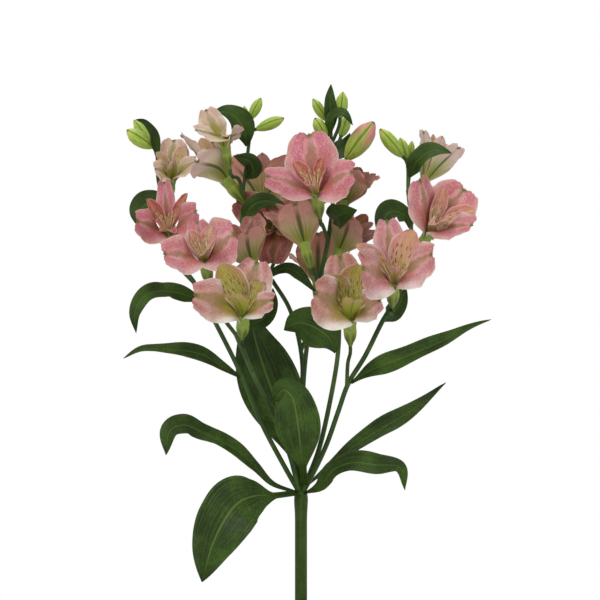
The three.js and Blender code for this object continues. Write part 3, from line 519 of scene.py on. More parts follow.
def rings(shape, centres, normals, binormals, radii, finish, sides, ribs=0, depth=0.0):
    """A closed skin round a line of centres, with lengthwise ribs."""
    angles = circle(sides)
    reach = np.asarray(radii, float)[:, None] * (1 + depth * np.cos(ribs * angles))
    points = (centres[:, None] + normals[:, None] * (reach * np.cos(angles))[..., None]
              + binormals[:, None] * (reach * np.sin(angles))[..., None])
    lengths = np.concatenate([[0], np.cumsum(np.linalg.norm(np.diff(centres, axis=0), axis=1))])
    shape.barrel(points, lengths / lengths[-1], finish)


def straight(shape, centres, normal, binormal, radii, finish, **form):
    """Rings along a straight line."""
    normals, binormals = (np.tile(side, (len(centres), 1)) for side in (normal, binormal))
    rings(shape, centres, normals, binormals, radii, finish, **form)


def tube(shape, line, radii, finish, **form):
    """A round stalk along a line of places, with a frame carried along it without twist."""
    heading = unit(np.gradient(line, axis=0))
    normal = perpendicular(heading[0], (0.3, -1, 0.2))
    normals = [normal]
    for forward in heading[1:]:
        normal = unit(normal - forward * np.dot(normal, forward))
        normals.append(normal)
    normals = np.array(normals)
    rings(shape, line, normals, np.cross(heading, normals), radii, finish, **form)


def swelling(shape, base, tip, stations, finish, steps, **form):
    """A body that swells along a straight axis, smooth between its stations (share, radius)."""
    shares = np.linspace(0, 1, steps)
    swell = Curve([(*station, 0) for station in stations]).places
    girths = np.interp(shares, swell[:, 0], swell[:, 1])
    axis = unit(tip - base)
    normal = perpendicular(axis, (0, -1, 0.2))
    centres = base + shares[:, None] * (tip - base)
    straight(shape, centres, normal, np.cross(axis, normal), girths, finish, **form)


# Finishes


def colour(code):
    """A linear colour from its display code."""
    values = [int(code[k:k + 2], 16) / 255 for k in (0, 2, 4)]
    linear = [v / 12.92 if v <= 0.04045 else ((v + 0.055) / 1.055) ** 2.4 for v in values]
    return (*linear, 1)


class Field:
    """A value that varies over a skin. Each sum or product of fields is a new node of their paint."""

    def __init__(self, paint, socket):
        self.paint = paint
        self.socket = socket

    def math(self, operation, other=0.0):
        return self.paint.node("ShaderNodeMath", {0: self, 1: other}, operation=operation)

    def __add__(self, other):
        return self.math("ADD", other)

    def __sub__(self, other):
        return self.math("SUBTRACT", other)

    def __mul__(self, other):
        return self.math("MULTIPLY", other)

    def __abs__(self):
        return self.math("ABSOLUTE")

    def waves(self, count):
        """So many waves, between -1 and 1, as the value goes up by one."""
        return (self * (2 * math.pi * count)).math("COSINE")

    def rise(self, low, high, start=0.0, end=1.0):
        """Smoothly from start, where the value is low, to end, where it is high."""
        ends = {"Value": self, "From Min": low, "From Max": high, "To Min": start, "To Max": end}
        return self.paint.node("ShaderNodeMapRange", ends, interpolation_type="SMOOTHSTEP")

    def stretched(self, *scale):
        return self.paint.node("ShaderNodeVectorMath", {0: self, 1: scale}, operation="MULTIPLY")


class Paint:
    """A material whose colour is laid on a base in coats. Colours are display codes."""

    def __init__(self, name, base, **sockets):
        self.material = bpy.data.materials.new(name)
        self.material.use_nodes = True
        self.tree = self.material.node_tree
        self.shader = self.tree.nodes["Principled BSDF"]
        self.look = base
        named = {socket.name.lower(): socket for socket in self.shader.inputs}
        for socket, value in sockets.items():
            named[socket.replace("_", " ")].default_value = value

    def node(self, kind, inputs, output=0, **settings):
        """An output of a new node. Its inputs are fields, numbers, vectors or colours."""
        node = self.tree.nodes.new(kind)
        for setting, value in settings.items():
            setattr(node, setting, value)
        for key, value in inputs.items():
            if isinstance(value, Field):
                self.tree.links.new(value.socket, node.inputs[key])
            else:
                node.inputs[key].default_value = colour(value) if isinstance(value, str) else value
        return Field(self, node.outputs[output])

    def place(self):
        """Place in the object's own space, in metres."""
        return self.node("ShaderNodeTexCoord", {}, output=3)

    def uv(self):
        return self.node("ShaderNodeUVMap", {}, uv_map="skin")

    def skin(self):
        """Place on the skin: u from -1 to 1 across a blade or from 0 to 1 round a stalk, and t along."""
        return [self.node("ShaderNodeSeparateXYZ", {0: self.uv()}, output) for output in (0, 1)]

    def grain(self, vector, scale=1.0, detail=3.0, roughness=0.55):
        settings = {"Vector": vector, "Scale": scale, "Detail": detail, "Roughness": roughness}
        return self.node("ShaderNodeTexNoise", settings)

    def cloud(self, scale, **settings):
        """Noise in that space."""
        return self.grain(self.place(), scale, **settings)

    def fibre(self, across, along, detail=2.0):
        """Noise stretched over the skin."""
        return self.grain(self.uv().stretched(across, along, 1), detail=detail)

    def mix(self, share, first, second):
        return self.node("ShaderNodeMix", {0: share, 6: first, 7: second}, output=2, data_type="RGBA")

    def coat(self, look, share):
        """Lays another colour over the colour so far, by a share of it."""
        self.look = self.mix(share, self.look, look)

    def bump(self, height, distance):
        """Relief of so many metres."""
        settings = {"Height": height, "Distance": distance, "Strength": 1.0}
        self.tree.links.new(self.node("ShaderNodeBump", settings).socket, self.shader.inputs["Normal"])

    def finish(self):
        self.tree.links.new(self.look.socket, self.shader.inputs["Base Color"])
        return self.material


# Colours of the tepals in six tones: rose, two lighter ones with whiter sides, two greener ones, and one for
# blooms deep in the head, darker partly in their own dusky colour and partly by painted shade from the
# blooms round them. spread is how far the throat's colour reaches along a tepal, stripe the half width of
# the band along its middle, and edge how white its sides are.
TONES = {
    "rose": {
        "body": "d28a96", "deep": "ba6271", "pale": "e2b8ae", "base": "c4b46a", "rib": "8a6e4a",
        "coral": "ac5848", "back": "d0a0a4", "white": "e8d6ca", "claw": "a4aa50", "line": "66762a",
        "peach": "cc7c6e", "middle": "d8a67c", "tip": "a84640", "fleck": "4a2018",
        "spread": 0.32, "stripe": 0.22, "edge": 0.3,
    },
    "peach": {
        "body": "d6959c", "deep": "bd6c79", "pale": "eac8be", "base": "c8ae74", "rib": "83713e",
        "coral": "ac6048", "back": "d0a0a4", "white": "ead8cc", "claw": "a4aa50", "line": "66762a",
        "peach": "e4b2a0", "middle": "e4c89c", "tip": "cb7b70", "fleck": "54281a",
        "spread": 0.42, "stripe": 0.22, "edge": 0.4,
    },
    "blush": {
        "body": "d0949a", "deep": "b9727c", "pale": "e8c6bc", "base": "b8a958", "rib": "857a3c",
        "coral": "ab6a50", "back": "cc9c9a", "white": "f2e8e0", "claw": "a8ac52", "line": "66762a",
        "peach": "e2b6a2", "middle": "cbb070", "tip": "cc8a7e", "fleck": "38200f",
        "spread": 0.44, "stripe": 0.26, "edge": 0.75,
    },
    "fresh": {
        "body": "c98a88", "deep": "ae6869", "pale": "e8cabe", "base": "9ca42a", "rib": "757426",
        "coral": "9a7044", "back": "b6b062", "white": "f4ece0", "claw": "a8b440", "line": "56681c",
        "peach": "b08a60", "middle": "9aa81e", "tip": "a8864c", "fleck": "54401c",
        "spread": 0.85, "stripe": 0.36, "edge": 0.9,
    },
    "pale": {
        "body": "e2c2b6", "deep": "c99c90", "pale": "f0e6dc", "base": "a2a43a", "rib": "6e7228",
        "coral": "c8b080", "back": "e8d0c8", "white": "e0d8b0", "claw": "98a234", "line": "40521a",
        "peach": "dcc092", "middle": "bab45e", "tip": "cc8e7c", "fleck": "463420",
        "spread": 1, "stripe": 0.3, "edge": 0.5,
    },
    # Painted shade: darker than these blooms' own dusky colour, for the shade that the blooms round them
    # cast.
    "dusky": {
        "body": "ba8078", "deep": "784240", "pale": "d0a292", "base": "645e22", "rib": "625424",
        "coral": "804430", "back": "cc988c", "white": "c8b088", "claw": "88902e", "line": "3a4618",
        "peach": "ac7e60", "middle": "8e8638", "tip": "8e4644", "fleck": "33200f",
        "spread": 0.6, "stripe": 0.26, "edge": 0.3,
    },
}
DRY_TIP = "6f6c38"
GREEN_THROAT = "8fa23e"  # where a bloom's tube meets its ovary


def tepal_paint(name, base):
    """A tepal's soft skin, with lines along it and fine creases across it in its relief."""
    paint = Paint(name, base, roughness=0.6, specular_ior_level=0.2, subsurface_weight=0.3,
                  subsurface_scale=0.002)
    u, t = paint.skin()
    lines = paint.fibre(46, 5)
    # The creases shape the relief, and the coats below paint light and shade along them.
    creases = paint.fibre(11, 34, detail=3)
    paint.bump(lines + creases * 1.6, 0.0003)
    return paint, abs(u), t, lines, creases


def dry_tip(paint, side, t):
    """The finished tepal, with a dry point at its end."""
    paint.coat(DRY_TIP, side.rise(0.3, 0.08) * t.rise(0.93, 0.99))
    return paint.finish()


def spear(paint, side, t, middle):
    """Distance from a tepal's middle line, which grows towards both ends of a spear along it."""
    off = t - middle
    wander = paint.cloud(260).rise(0.3, 0.7, -0.06, 0.06)
    return side + wander + off * off * 2


def flecks(paint, side, t):
    """Short dashes along an inner tepal, about half of them left out by chance."""
    cells = {"Vector": paint.uv().stretched(8, 7, 1), "Scale": 1.0, "Randomness": 0.8}
    dash, lottery = (paint.node("ShaderNodeTexVoronoi", cells, output, voronoi_dimensions="2D")
                     for output in (0, 1))
    drawn = paint.node("ShaderNodeSeparateColor", {0: lottery})
    field = t.rise(0.22, 0.36) * t.rise(0.88, 0.7) * side.rise(0.9, 0.6)
    return dash.rise(0.3, 0.2) * drawn.rise(0.42, 0.44) * field


def outer_inside(tone):
    """Lined and creased rose, with a spear along the middle, a coloured throat and pale sides."""
    shade = TONES[tone]
    spread, stripe = shade["spread"], shade["stripe"]
    paint, side, t, lines, creases = tepal_paint(f"outer_tepal_inside_{tone}", shade["body"])
    paint.coat(shade["deep"], lines.rise(0.35, 0.68))
    # Painted light and shade of the creases: paler on their crests, darker in their troughs.
    paint.coat(shade["pale"], creases.rise(0.5, 0.68) * 0.6)
    paint.coat(shade["deep"], creases.rise(0.46, 0.3) * 0.55)
    paint.coat(shade["pale"], side.rise(0.6, 0.95) * 0.4)
    streaks = paint.fibre(9, 1.6).rise(0.38, 0.6, 0.2, 1)
    glow = (side + t * 0.6).rise(1.05, 0.4) * t.rise(0.8, 0.4)
    paint.coat(shade["coral"], glow * streaks * 0.85)
    band = spear(paint, side, t, 0.68)
    patches = paint.cloud(120).rise(0.3, 0.6, 0.5, 0.95)
    border = paint.mix(t.rise(0.55, 0.75), shade["coral"], shade["pale"])
    rim = band.rise(stripe * 2, stripe * 1.2) * t.rise(0.25, 0.5) * patches
    paint.coat(border, rim * 0.5)
    rib = band.rise(stripe * 1.2, stripe * 0.5) * t.rise(0.2, 0.45) * patches
    paint.coat(shade["rib"], rib * 0.75)
    paint.coat(shade["white"], side.rise(0.35, 0.85) * t.rise(0.95, 0.4) * shade["edge"])
    throat = t.rise(spread, spread * 0.3) * side.rise(0.9, 0.2)
    paint.coat(shade["base"], throat)
    veins = abs((side * 11.0).math("SINE"))
    paint.coat(shade["line"], veins.rise(0.35, 0.1) * throat * side.rise(0.7, 0.3) * 0.6)
    paint.coat(shade["white"], side.rise(0.93, 0.98) * 0.6)
    paint.coat(shade["coral"], paint.cloud(90, detail=2).rise(0.35, 0.7) * 0.35)
    return dry_tip(paint, side, t)


def inner_inside(tone):
    """Peach with streaks and flecks along it, a redder end and a pale throat."""
    shade = TONES[tone]
    reach = 0.35 * shade["spread"]
    paint, side, t, lines, creases = tepal_paint(f"inner_tepal_inside_{tone}", shade["middle"])
    paint.coat(shade["peach"], (side + t * 0.4).rise(0.3 + reach, 0.95 + reach))
    paint.coat(shade["tip"], t.rise(0.4, 0.95) * side.rise(0, 0.6, 0.4, 1) * 0.7)
    streaks = paint.fibre(14, 2.2)
    paint.coat(shade["tip"], streaks.rise(0.5, 0.62) * t.rise(0.1, 0.5) * 0.7)
    paint.coat(shade["pale"], streaks.rise(0.46, 0.36) * 0.4)
    paint.coat(shade["coral"], lines.rise(0.45, 0.7) * 0.4)
    # Painted light on the crests of the creases.
    paint.coat(shade["pale"], creases.rise(0.5, 0.7) * 0.4)
    paint.coat(shade["fleck"], flecks(paint, side, t) * 0.9)
    paint.coat(shade["pale"], side.rise(0.86, 0.98) * 0.7)
    paint.coat(shade["base"], t.rise(0.3, 0.08))
    return paint.finish()


def tepal_outside(tone, whorl):
    """Paler than the inside: green at the foot, with dark lines that run up from it."""
    shade = TONES[tone]
    foot, rib = (shade["white"], 0.8) if whorl == "outer" else (shade["middle"], 0.5)
    paint, side, t, lines, creases = tepal_paint(f"{whorl}_tepal_outside_{tone}", foot)
    paint.coat(shade["back"], t.rise(0.45, 0.95))
    paint.coat(shade["body"], lines.rise(0.42, 0.7) * t.rise(0.2, 0.7) * 0.6)
    # Painted light and shade of the creases: paler on their crests, darker in their troughs.
    paint.coat(shade["pale"], creases.rise(0.5, 0.7) * 0.4)
    paint.coat(shade["deep"], creases.rise(0.44, 0.3) * 0.4)
    paint.coat(shade["claw"], t.rise(0.5 + 0.4 * shade["spread"], 0.22) * side.rise(1.15, 0.35) * 0.95)
    waves = abs((side * 13.0).math("SINE"))
    paint.coat(shade["line"], waves.rise(0.4, 0.1) * side.rise(0.7, 0.25) * t.rise(0.8, 0.3) * 0.7)
    paint.coat(shade["line"], side.rise(0.16, 0.04) * t.rise(1.0, 0.7) * rib)
    paint.coat(shade["deep"], side.rise(0.88, 1) * t.rise(0.35, 0.6) * 0.6)
    return dry_tip(paint, side, t)


def green(name, light, dark, lines, roughness=0.42, rib=None, pale=None):
    """A leaf's or a stalk's skin: lines along it, with a paler rib and cloudy light and dark."""
    paint = Paint(name, dark, roughness=roughness, specular_ior_level=0.2, subsurface_weight=0.05,
                  subsurface_scale=0.0012)
    veins = paint.fibre(lines, 1.2)
    cross = paint.fibre(lines * 0.4, 40)
    cloud = paint.cloud(55)
    paint.coat(light, cloud.rise(0.35, 0.7))
    paint.coat(pale or light, veins.rise(0.5, 0.66) * 0.7)
    paint.coat(dark, cross.rise(0.48, 0.62) * 0.5)
    if rib:
        u, _ = paint.skin()
        paint.coat(rib, abs(u).rise(0.07, 0.02) * 0.7)
    paint.bump(veins + cross + cloud * 0.6, 0.0003)
    return paint.finish()


def ovary_skin():
    """Dark in its six furrows, lighter on its ridges and where it meets the bloom."""
    paint = Paint("ovary", "4e6616", roughness=0.4, subsurface_weight=0.08)
    u, t = paint.skin()
    paint.coat("76882c", u.waves(6).rise(-0.6, 0.7))
    paint.coat(GREEN_THROAT, t.rise(0.5, 1.0))
    paint.bump(paint.cloud(500), 0.0001)
    return paint.finish()


def throat_skin():
    """A bloom's short tube, faintly striped."""
    paint = Paint("throat", "93a642", roughness=0.5, subsurface_weight=0.08)
    u, t = paint.skin()
    stripe = u.waves(6)
    paint.coat("788c34", stripe.rise(-0.6, 0.9, 0.1, 0.5))
    paint.coat(GREEN_THROAT, t.rise(0.5, 0.0))
    paint.coat("7a7a32", t.rise(0.96, 1.0))
    paint.bump(stripe, 0.0001)
    return paint.finish()


def plain_skin(name, light, dark, scale, roughness, depth):
    """Clouds of a lighter colour on a darker one, with relief as fine as they are."""
    paint = Paint(name, dark, roughness=roughness)
    cloud = paint.cloud(scale)
    paint.coat(light, cloud.rise(0.35, 0.65))
    paint.bump(cloud, depth)
    return paint.finish()


def bud_skin(name, light, dark, tip, blush):
    """Folded tepals of a bud: darker lines along them, and its tip in another colour."""
    paint = Paint(name, light, roughness=0.42, specular_ior_level=0.3, subsurface_weight=0.08,
                  subsurface_scale=0.002)
    u, t = paint.skin()
    lines, rib = u.waves(18), u.waves(3)
    fine = paint.fibre(60, 4)
    paint.coat(dark, fine.rise(0.3, 0.7))
    paint.coat(dark, lines.rise(0.3, 1.0) * 0.5)
    paint.coat("5d7a22", rib.rise(0.86, 1.0) * 0.85)
    paint.coat(tip, t.rise(*blush) * rib.rise(0.9, 0.2))
    paint.coat("3f5a1c", t.rise(0.95, 1.0))
    paint.bump(fine + lines * 0.3, 0.0002)
    return paint.finish()


def clay_skin():
    """Fired clay with specks, turning marks and a pale bloom of lime."""
    paint = Paint("clay", "a85f3c", roughness=0.88)
    speck = paint.cloud(900)
    turning = paint.grain(paint.place().stretched(6, 6, 420), detail=2)
    paint.coat("c07a52", paint.cloud(22, detail=6).rise(0.3, 0.7))
    paint.coat("8a4a2e", speck.rise(0.55, 0.7) * 0.5)
    paint.coat("d9bfa6", paint.cloud(38, detail=5).rise(0.56, 0.72) * 0.35)
    paint.bump(speck * 0.4 + turning * 0.7, 0.0004)
    return paint.finish()


def soil_skin():
    """Dark earth with lighter crumbs and lumps."""
    paint = Paint("soil", "211610", roughness=0.95)
    crumb = paint.cloud(420, detail=5, roughness=0.7)
    paint.coat("4b3626", crumb.rise(0.35, 0.7))
    paint.coat("5c4632", paint.cloud(70).rise(0.5, 0.75) * 0.4)
    paint.bump(crumb, 0.0008)
    return paint.finish()


# The stem with its rays, pedicels and ovaries


def nearest_on(limbs, point):
    """The nearest place to a point on limbs: its distance, place, direction and the limb's radius."""
    found = []
    for line, start_radius, end_radius in limbs:
        starts, steps = line[:-1], np.diff(line, axis=0)
        share = np.clip(np.sum((point - starts) * steps, axis=1) / np.sum(steps ** 2, axis=1), 0, 1)
        places = starts + steps * share[:, None]
        distances = np.linalg.norm(places - point, axis=1)
        k = int(np.argmin(distances))
        radius = start_radius + (end_radius - start_radius) * k / len(steps)
        found.append((distances[k], places[k], unit(steps[k]), radius))
    return min(found, key=lambda near: near[0])


def fine_line(points, step=3.0):
    """Places on a smooth curve through points, about a step apart."""
    curve = Curve(points)
    return curve.place(np.linspace(0, 1, max(4, math.ceil(curve.length / step))))


def tip_from(seat, tip):
    """From a bloom's seat to where a tip is seen."""
    return at(tip[0], tip[1], seat[1] + tip[2]) - seat


def bloom_frame(bloom):
    """Axis of a bloom between its outer tepals or along its face, and the sides of its first tepal."""
    if "face" in bloom:
        axis = unit(np.array(bloom["face"], float))
        dorsal = spun(perpendicular(axis, (0, 0.001, 1)), axis, math.radians(bloom["turn"]))
    else:
        tips = [tip_from(bloom["seat"], tip) for tip in bloom["outer"]]
        axis = unit(sum(unit(tip) for tip in tips))
        dorsal = perpendicular(axis, tips[0])
    return axis, dorsal, np.cross(dorsal, axis)


def stem_limbs():
    """Centre lines of the limbs: rays, a side shoot, then the pedicels of the blooms and of the buds."""
    limbs = [(fine_line([WHORL, *path]), STALK["ray"], STALK["branch"]) for path in RAYS]
    limbs.append((fine_line(SIDE_SHOOT), STALK["branch"], STALK["branch"]))

    def pedicel(way, base, direction, start_radius):
        path = [nearest_on(limbs, way[0])[1], *way[1:], base - direction * STALK["lead"], base]
        limbs.append((fine_line(path), start_radius, STALK["pedicel"]))

    for bloom in BLOOMS.values():
        axis = bloom_frame(bloom)[0]
        base = bloom["seat"] - axis * OVARY["length"] * bloom["size"]
        pedicel(bloom["stalk"], base, axis, STALK["pedicel"] * 1.15)
    for bud in BUDS.values():
        pedicel(bud["stalk"], bud["base"], unit(bud["tip"] - bud["base"]), STALK["pedicel"])
    return limbs


LIMBS = stem_limbs()
TRUNK = (np.array([(0, 0, STEM["foot"]), WHORL]), STEM["whorl"], STEM["whorl"])


def make_stem(finishes):
    shape = Shape("stem_fine", finishes)
    foot, top = STEM["foot"], WHORL[2]
    stations = [
        (0, STEM["radius"]), (top - STEM["swell"] - foot, STEM["radius"]),
        (top - STEM["neck"] - foot, STEM["whorl"]), (top - foot, STEM["whorl"] * 0.96),
        (top + STEM["cap"] - foot, STEM["whorl"] * 0.55),
    ]
    heights = np.linspace(0, top + STEM["cap"] - foot, STEM_ROWS)
    girths = np.interp(heights, *zip(*stations))
    girths = np.convolve(np.pad(girths, 1, mode="edge"), (0.25, 0.5, 0.25), mode="valid")
    centres = (0, 0, foot) + heights[:, None] * (0, 0, 1)
    straight(shape, centres, (1.0, 0, 0), (0, 1.0, 0), girths, TRUNK_SKIN, sides=30, ribs=10, depth=0.012)
    for line, start_radius, end_radius in LIMBS:
        radii = np.linspace(start_radius, end_radius, len(line))
        tube(shape, line, radii, LIMB_SKIN, sides=14, ribs=5, depth=0.03)
    for bloom in BLOOMS.values():
        axis = bloom_frame(bloom)[0]
        length, girth = OVARY["length"] * bloom["size"], OVARY["radius"] * bloom["size"]
        wide = 0.92 * girth
        body = [(0, STALK["pedicel"]), (0.2, 0.5 * girth), (0.55, wide), (0.8, girth), (1, wide)]
        swelling(shape, bloom["seat"] - axis * length, bloom["seat"], body, OVARY_SKIN, steps=20, sides=36,
                 ribs=6, depth=0.09)
    shape.made("stem", "stem")


# Leaves


def leaf_root(spine):
    """Where a leaf leaves the stem: on the skin of the nearest limb, on the side that it grows to."""
    _, place, direction, radius = nearest_on([TRUNK, *LIMBS], spine[0])
    return place + perpendicular(direction, spine[1] - place) * radius


def leaf_outline(ts, petiole, peak):
    """Share of a leaf's half width along it: a narrow petiole, a round swelling and a pointed end."""
    fall = np.maximum(0.012, np.cos(np.clip((ts - peak) / (1 - peak), 0, 1) * math.pi / 2)) ** 0.85
    share = np.clip((ts - petiole) / (peak - petiole), 0, 1)
    swell = 0.16 + 0.84 * np.sin(share * math.pi / 2) ** 1.3
    return np.where(ts > peak, fall, swell)


def leaf_grid(leaf, us, ts):
    """The middle surface of a leaf, over its spine: a shallow trough with a rib, rippled at its sides."""
    spine = [leaf_root(leaf["spine"]), *leaf["spine"][1:]]
    curve = Curve(spine)
    side = 1 if spine[-1][0] < spine[0][0] else -1
    centre, forward = curve.place(ts), curve.heading(ts)
    viewer = perpendicular(forward, (0, -1, 0))
    tilts = leaf["tilt"]
    angle = side * np.radians(np.interp(ts, np.linspace(0, 1, len(tilts)), tilts))
    face = spun(viewer, forward, angle)
    across = np.cross(forward, face)
    outline = leaf_outline(ts, leaf.get("petiole", 0), leaf.get("peak", 0.45))
    width, along = leaf["width"], ts[:, None]
    half = (width / 2 * outline)[:, None]
    ripple = LEAF["ripple"] * width * np.sin(4.5 * math.pi * along + us) * us ** 2
    crinkle = LEAF["crinkle"] * width * np.sin(19 * along + 3 * us) * us ** 4
    rib = -LEAF["rib"] * np.exp(-(us * half / LEAF["rib_width"]) ** 2)
    lift = half * LEAF["trough"] * np.sqrt(us ** 2 + 0.004) + (ripple + crinkle) * outline[:, None] + rib
    return centre[:, None] + across[:, None] * (half * us)[..., None] + face[:, None] * lift[..., None]


def make_leaf(name, leaf, finishes):
    shape = Shape(name, finishes)
    us = np.linspace(-1, 1, BROAD_LANES if leaf["width"] > BROAD else NARROW_LANES)
    ts = np.linspace(0, 1, LEAF_ROWS if len(leaf["spine"]) > 4 else BRACT_ROWS)
    blade(shape, leaf_grid(leaf, us, ts), us, ts, LEAF["thickness"], UPPER, UNDER)
    shape.made("leaf", name, sharp=75)


# Blooms


def tepal_outline(ts, kind):
    """Share of a tepal's half width along it: a claw that broadens to the peak, and a blunt end."""
    rise = smooth(ts, 0.05, kind["peak"]) ** 0.7
    past = np.clip((ts - kind["peak"]) / (1 - kind["peak"]), 0, 1)
    round_off = np.sqrt(1 - (1 - kind["tip"] ** 2) * past ** 2)
    return (kind["claw"] + (1 - kind["claw"]) * rise) * round_off


def shape_of(tip, kind):
    """How far a tepal turns to the viewer, its breadth, and how far its halves fold inwards (+)."""
    return (*tip[3:], *(0, 1, kind["keel"])[len(tip) - 3:])


def tepal_ends(bloom, axis, side, kind):
    """Where the three tips of a whorl end, from the seat, and the shape of each tepal."""
    if "face" not in bloom:
        return [(tip_from(bloom["seat"], tip), *shape_of(tip, kind)) for tip in bloom[kind["whorl"]]]
    angle = math.radians(bloom["open"][0 if kind is OUTER else 1])
    reach = bloom["reach"]
    spread, rise = reach * math.sin(angle), axis * reach * math.cos(angle)
    return [(spun(side, axis, math.radians(azimuth)) * spread + rise, 0, 1, kind["keel"])
            for azimuth in kind["base"]]


def tepal_grid(bloom, kind, index, form, us, ts, phase):
    """The middle surface of a tepal, which rises beside the axis and curves out to its tip."""
    axis, dorsal, side = bloom_frame(bloom)
    end, show, broad, fold = form
    size = bloom["size"]
    azimuth = math.degrees(math.atan2(np.dot(end, dorsal), np.dot(end, side)))
    base = kind["base"][index]
    swing = (azimuth - base + 180) % 360 - 180
    up = np.dot(end, axis)
    out = math.sqrt(np.dot(end, end) - up * up)
    root = kind["root"]
    throat = kind["throat"] * size * bloom.get("throat", 1)
    places, heading = bezier([(root, 0.7), (root + 1, throat), (out, up)], ts)
    turn = np.radians(base + swing * smooth(ts, 0.25, 0.9))[:, None]
    outward = side * np.cos(turn) + dorsal * np.sin(turn)
    across = np.cross(axis, outward)
    forward = axis * heading[:, 1:] + outward * heading[:, :1]
    inner = axis * heading[:, :1] - outward * heading[:, 1:]
    sign = np.sign(show)
    roll = abs(show) * np.arctan2(sign * across[:, 1], -sign * inner[:, 1]) * smooth(ts, 0.25, 0.75)
    across, inner = spun(across, forward, roll), spun(inner, forward, roll)
    half = (kind["width"] * size * broad / 2 * tepal_outline(ts, kind))[:, None]
    along = ts[:, None]
    lift = half * (kind["cup"] * us ** 2 + fold * (np.sqrt(us ** 2 + 0.01) - 0.1))
    ruffle = kind["ruffle"] * kind["width"] * size * smooth(along, 0.45, 0.9) * us ** 2
    lift = lift + ruffle * np.sin(7 * along * math.pi + 2.5 * us + phase)
    lift = lift + 0.35 * ruffle * np.sin(19 * along * math.pi - 4 * us + 2 * phase) * us ** 2
    groove = np.exp(-(us * half / (TEPAL["rib_width"] * size)) ** 2) * smooth(along, 0.15, 0.4)
    lift = lift - TEPAL["rib"] * size * groove
    lobe = kind["notch"] * np.sin(math.pi * np.abs(us) ** 1.36) - kind["point"] * np.abs(us) ** 1.5
    wobble = np.sin(23 * along + phase + us) * smooth(along, 0.4, 0.7) * us ** 4
    uneven = 1 + TEPAL["uneven"] * wobble
    ragged = TEPAL["ragged"] * np.sin(9 * us + phase) + 0.25 * np.sin(21 * us + 2 * phase)
    lobe = size * (lobe + ragged) * smooth(along, 0.8, 1)
    return (bloom["seat"] + outward[:, None] * places[:, None, :1] + axis * places[:, None, 1:]
            + across[:, None] * (half * us * uneven)[..., None] + inner[:, None] * lift[..., None]
            + forward[:, None] * lobe[..., None])


def make_stamens(shape, bloom):
    """Six filaments that bow down and out, each with its anther, and a style between them."""
    axis, dorsal, side = bloom_frame(bloom)
    size = bloom["size"]
    rise = np.linspace(0.1, 1, 14)[:, None]
    for spread, share in ((-1, 0.98), (-0.6, 0.84), (-0.25, 1.02), (0.2, 0.9), (0.6, 1), (1, 0.86)):
        length = FILAMENT["length"] * size * share
        bow = FILAMENT["bow"] * np.sin(math.pi * rise * 0.86) * length
        wide = spread * (FILAMENT["root"] + FILAMENT["splay"] * rise ** 2 * length)
        line = bloom["seat"] + axis * rise * length - dorsal * bow + side * wide
        radii = np.linspace(*FILAMENT["radii"], len(line)) * size ** 0.5
        tube(shape, line, radii, FILAMENT_SKIN, sides=6)
        heading = unit(line[-1] - line[-2])
        body = line[-1] - heading * ANTHER["sunk"], line[-1] + heading * ANTHER["length"] * size
        stations = [(0, 0.3), (0.3, 0.7), (0.7, 0.65), (1, 0.2)]
        swelling(shape, *body, stations, ANTHER_SKIN, steps=8, sides=8, ribs=2, depth=0.18)
    length = FILAMENT["length"] * size * 0.9
    line = bloom["seat"] + axis * rise * length - dorsal * 0.05 * np.sin(math.pi * rise) * length
    tube(shape, line, np.linspace(0.55, 0.3, len(line)), FILAMENT_SKIN, sides=6)


def mucro(shape, grid, size):
    """The small hard point at the end of an outer tepal, in its notch."""
    middle = grid.shape[1] // 2
    end, before = grid[-1, middle], grid[-5, middle]
    heading = unit(end - before)
    body = end - heading * 1.8 * size, end + heading * 1.1 * size
    stations = [(0, 0.2), (0.4, 0.55 * size), (0.7, 0.45 * size), (1, 0.1)]
    swelling(shape, *body, stations, POINT_SKIN, steps=8, sides=8)


def make_bloom(name, bloom, finishes):
    shape = Shape(name, finishes)
    size, seat = bloom["size"], bloom["seat"]
    axis, _, side = bloom_frame(bloom)
    mouth = TUBE["mouth"] * size
    stations = [(0, TUBE["foot"] * size), (0.9, mouth), (1, 0.9 * mouth)]
    swelling(shape, seat + axis * 0.1, seat + axis * TUBE["length"] * size, stations, THROAT_SKIN, steps=10,
             sides=24, ribs=6, depth=0.05)
    ts = np.linspace(0, 1, TEPAL_ROWS)
    for kind in (OUTER, INNER):
        us = np.linspace(-1, 1, kind["lanes"])
        for index, form in enumerate(tepal_ends(bloom, axis, side, kind)):
            grid = tepal_grid(bloom, kind, index, form, us, ts, phase=2.1 * index + seat[0])
            blade(shape, grid, us, ts, TEPAL["thickness"], kind["outside"], kind["outside"] + 1)
            if kind is OUTER:
                mucro(shape, grid, size)
    if not bloom["bare"]:
        make_stamens(shape, bloom)
    shape.made("tepal", name, sharp=75)


def make_bud(name, bud, finish):
    """Three outer tepals folded round the rest: ridged along, blunt at the foot, with a small point."""
    shape = Shape(name, [finish])
    stations = [
        (0, 0.36), (0.08, 0.55), (0.28, 0.88), (0.5, 1), (0.7, 0.9), (0.86, 0.58), (0.95, 0.34), (1, 0.1),
    ]
    body = [(share, bud["radius"] * part) for share, part in stations]
    swelling(shape, bud["base"], bud["tip"], body, 0, steps=36, sides=36, ribs=3, depth=0.05)
    shape.made("bud", name)


# The pot and its soil


def pot_inside(height):
    """Radius of the pot's inside at a height."""
    slope = (POT["shoulder"] - POT["base"]) / (POT["height"] - POT["collar"])
    return POT["base"] + slope * height - POT["wall"]


def corner(before, point, after, radius, steps=5):
    """A rounded corner of a profile, as a few points."""
    before, point, after = (np.array(place, float) for place in (before, point, after))
    ends = point + unit(before - point) * radius, point, point + unit(after - point) * radius
    return bezier(ends, np.linspace(0, 1, steps))[0]


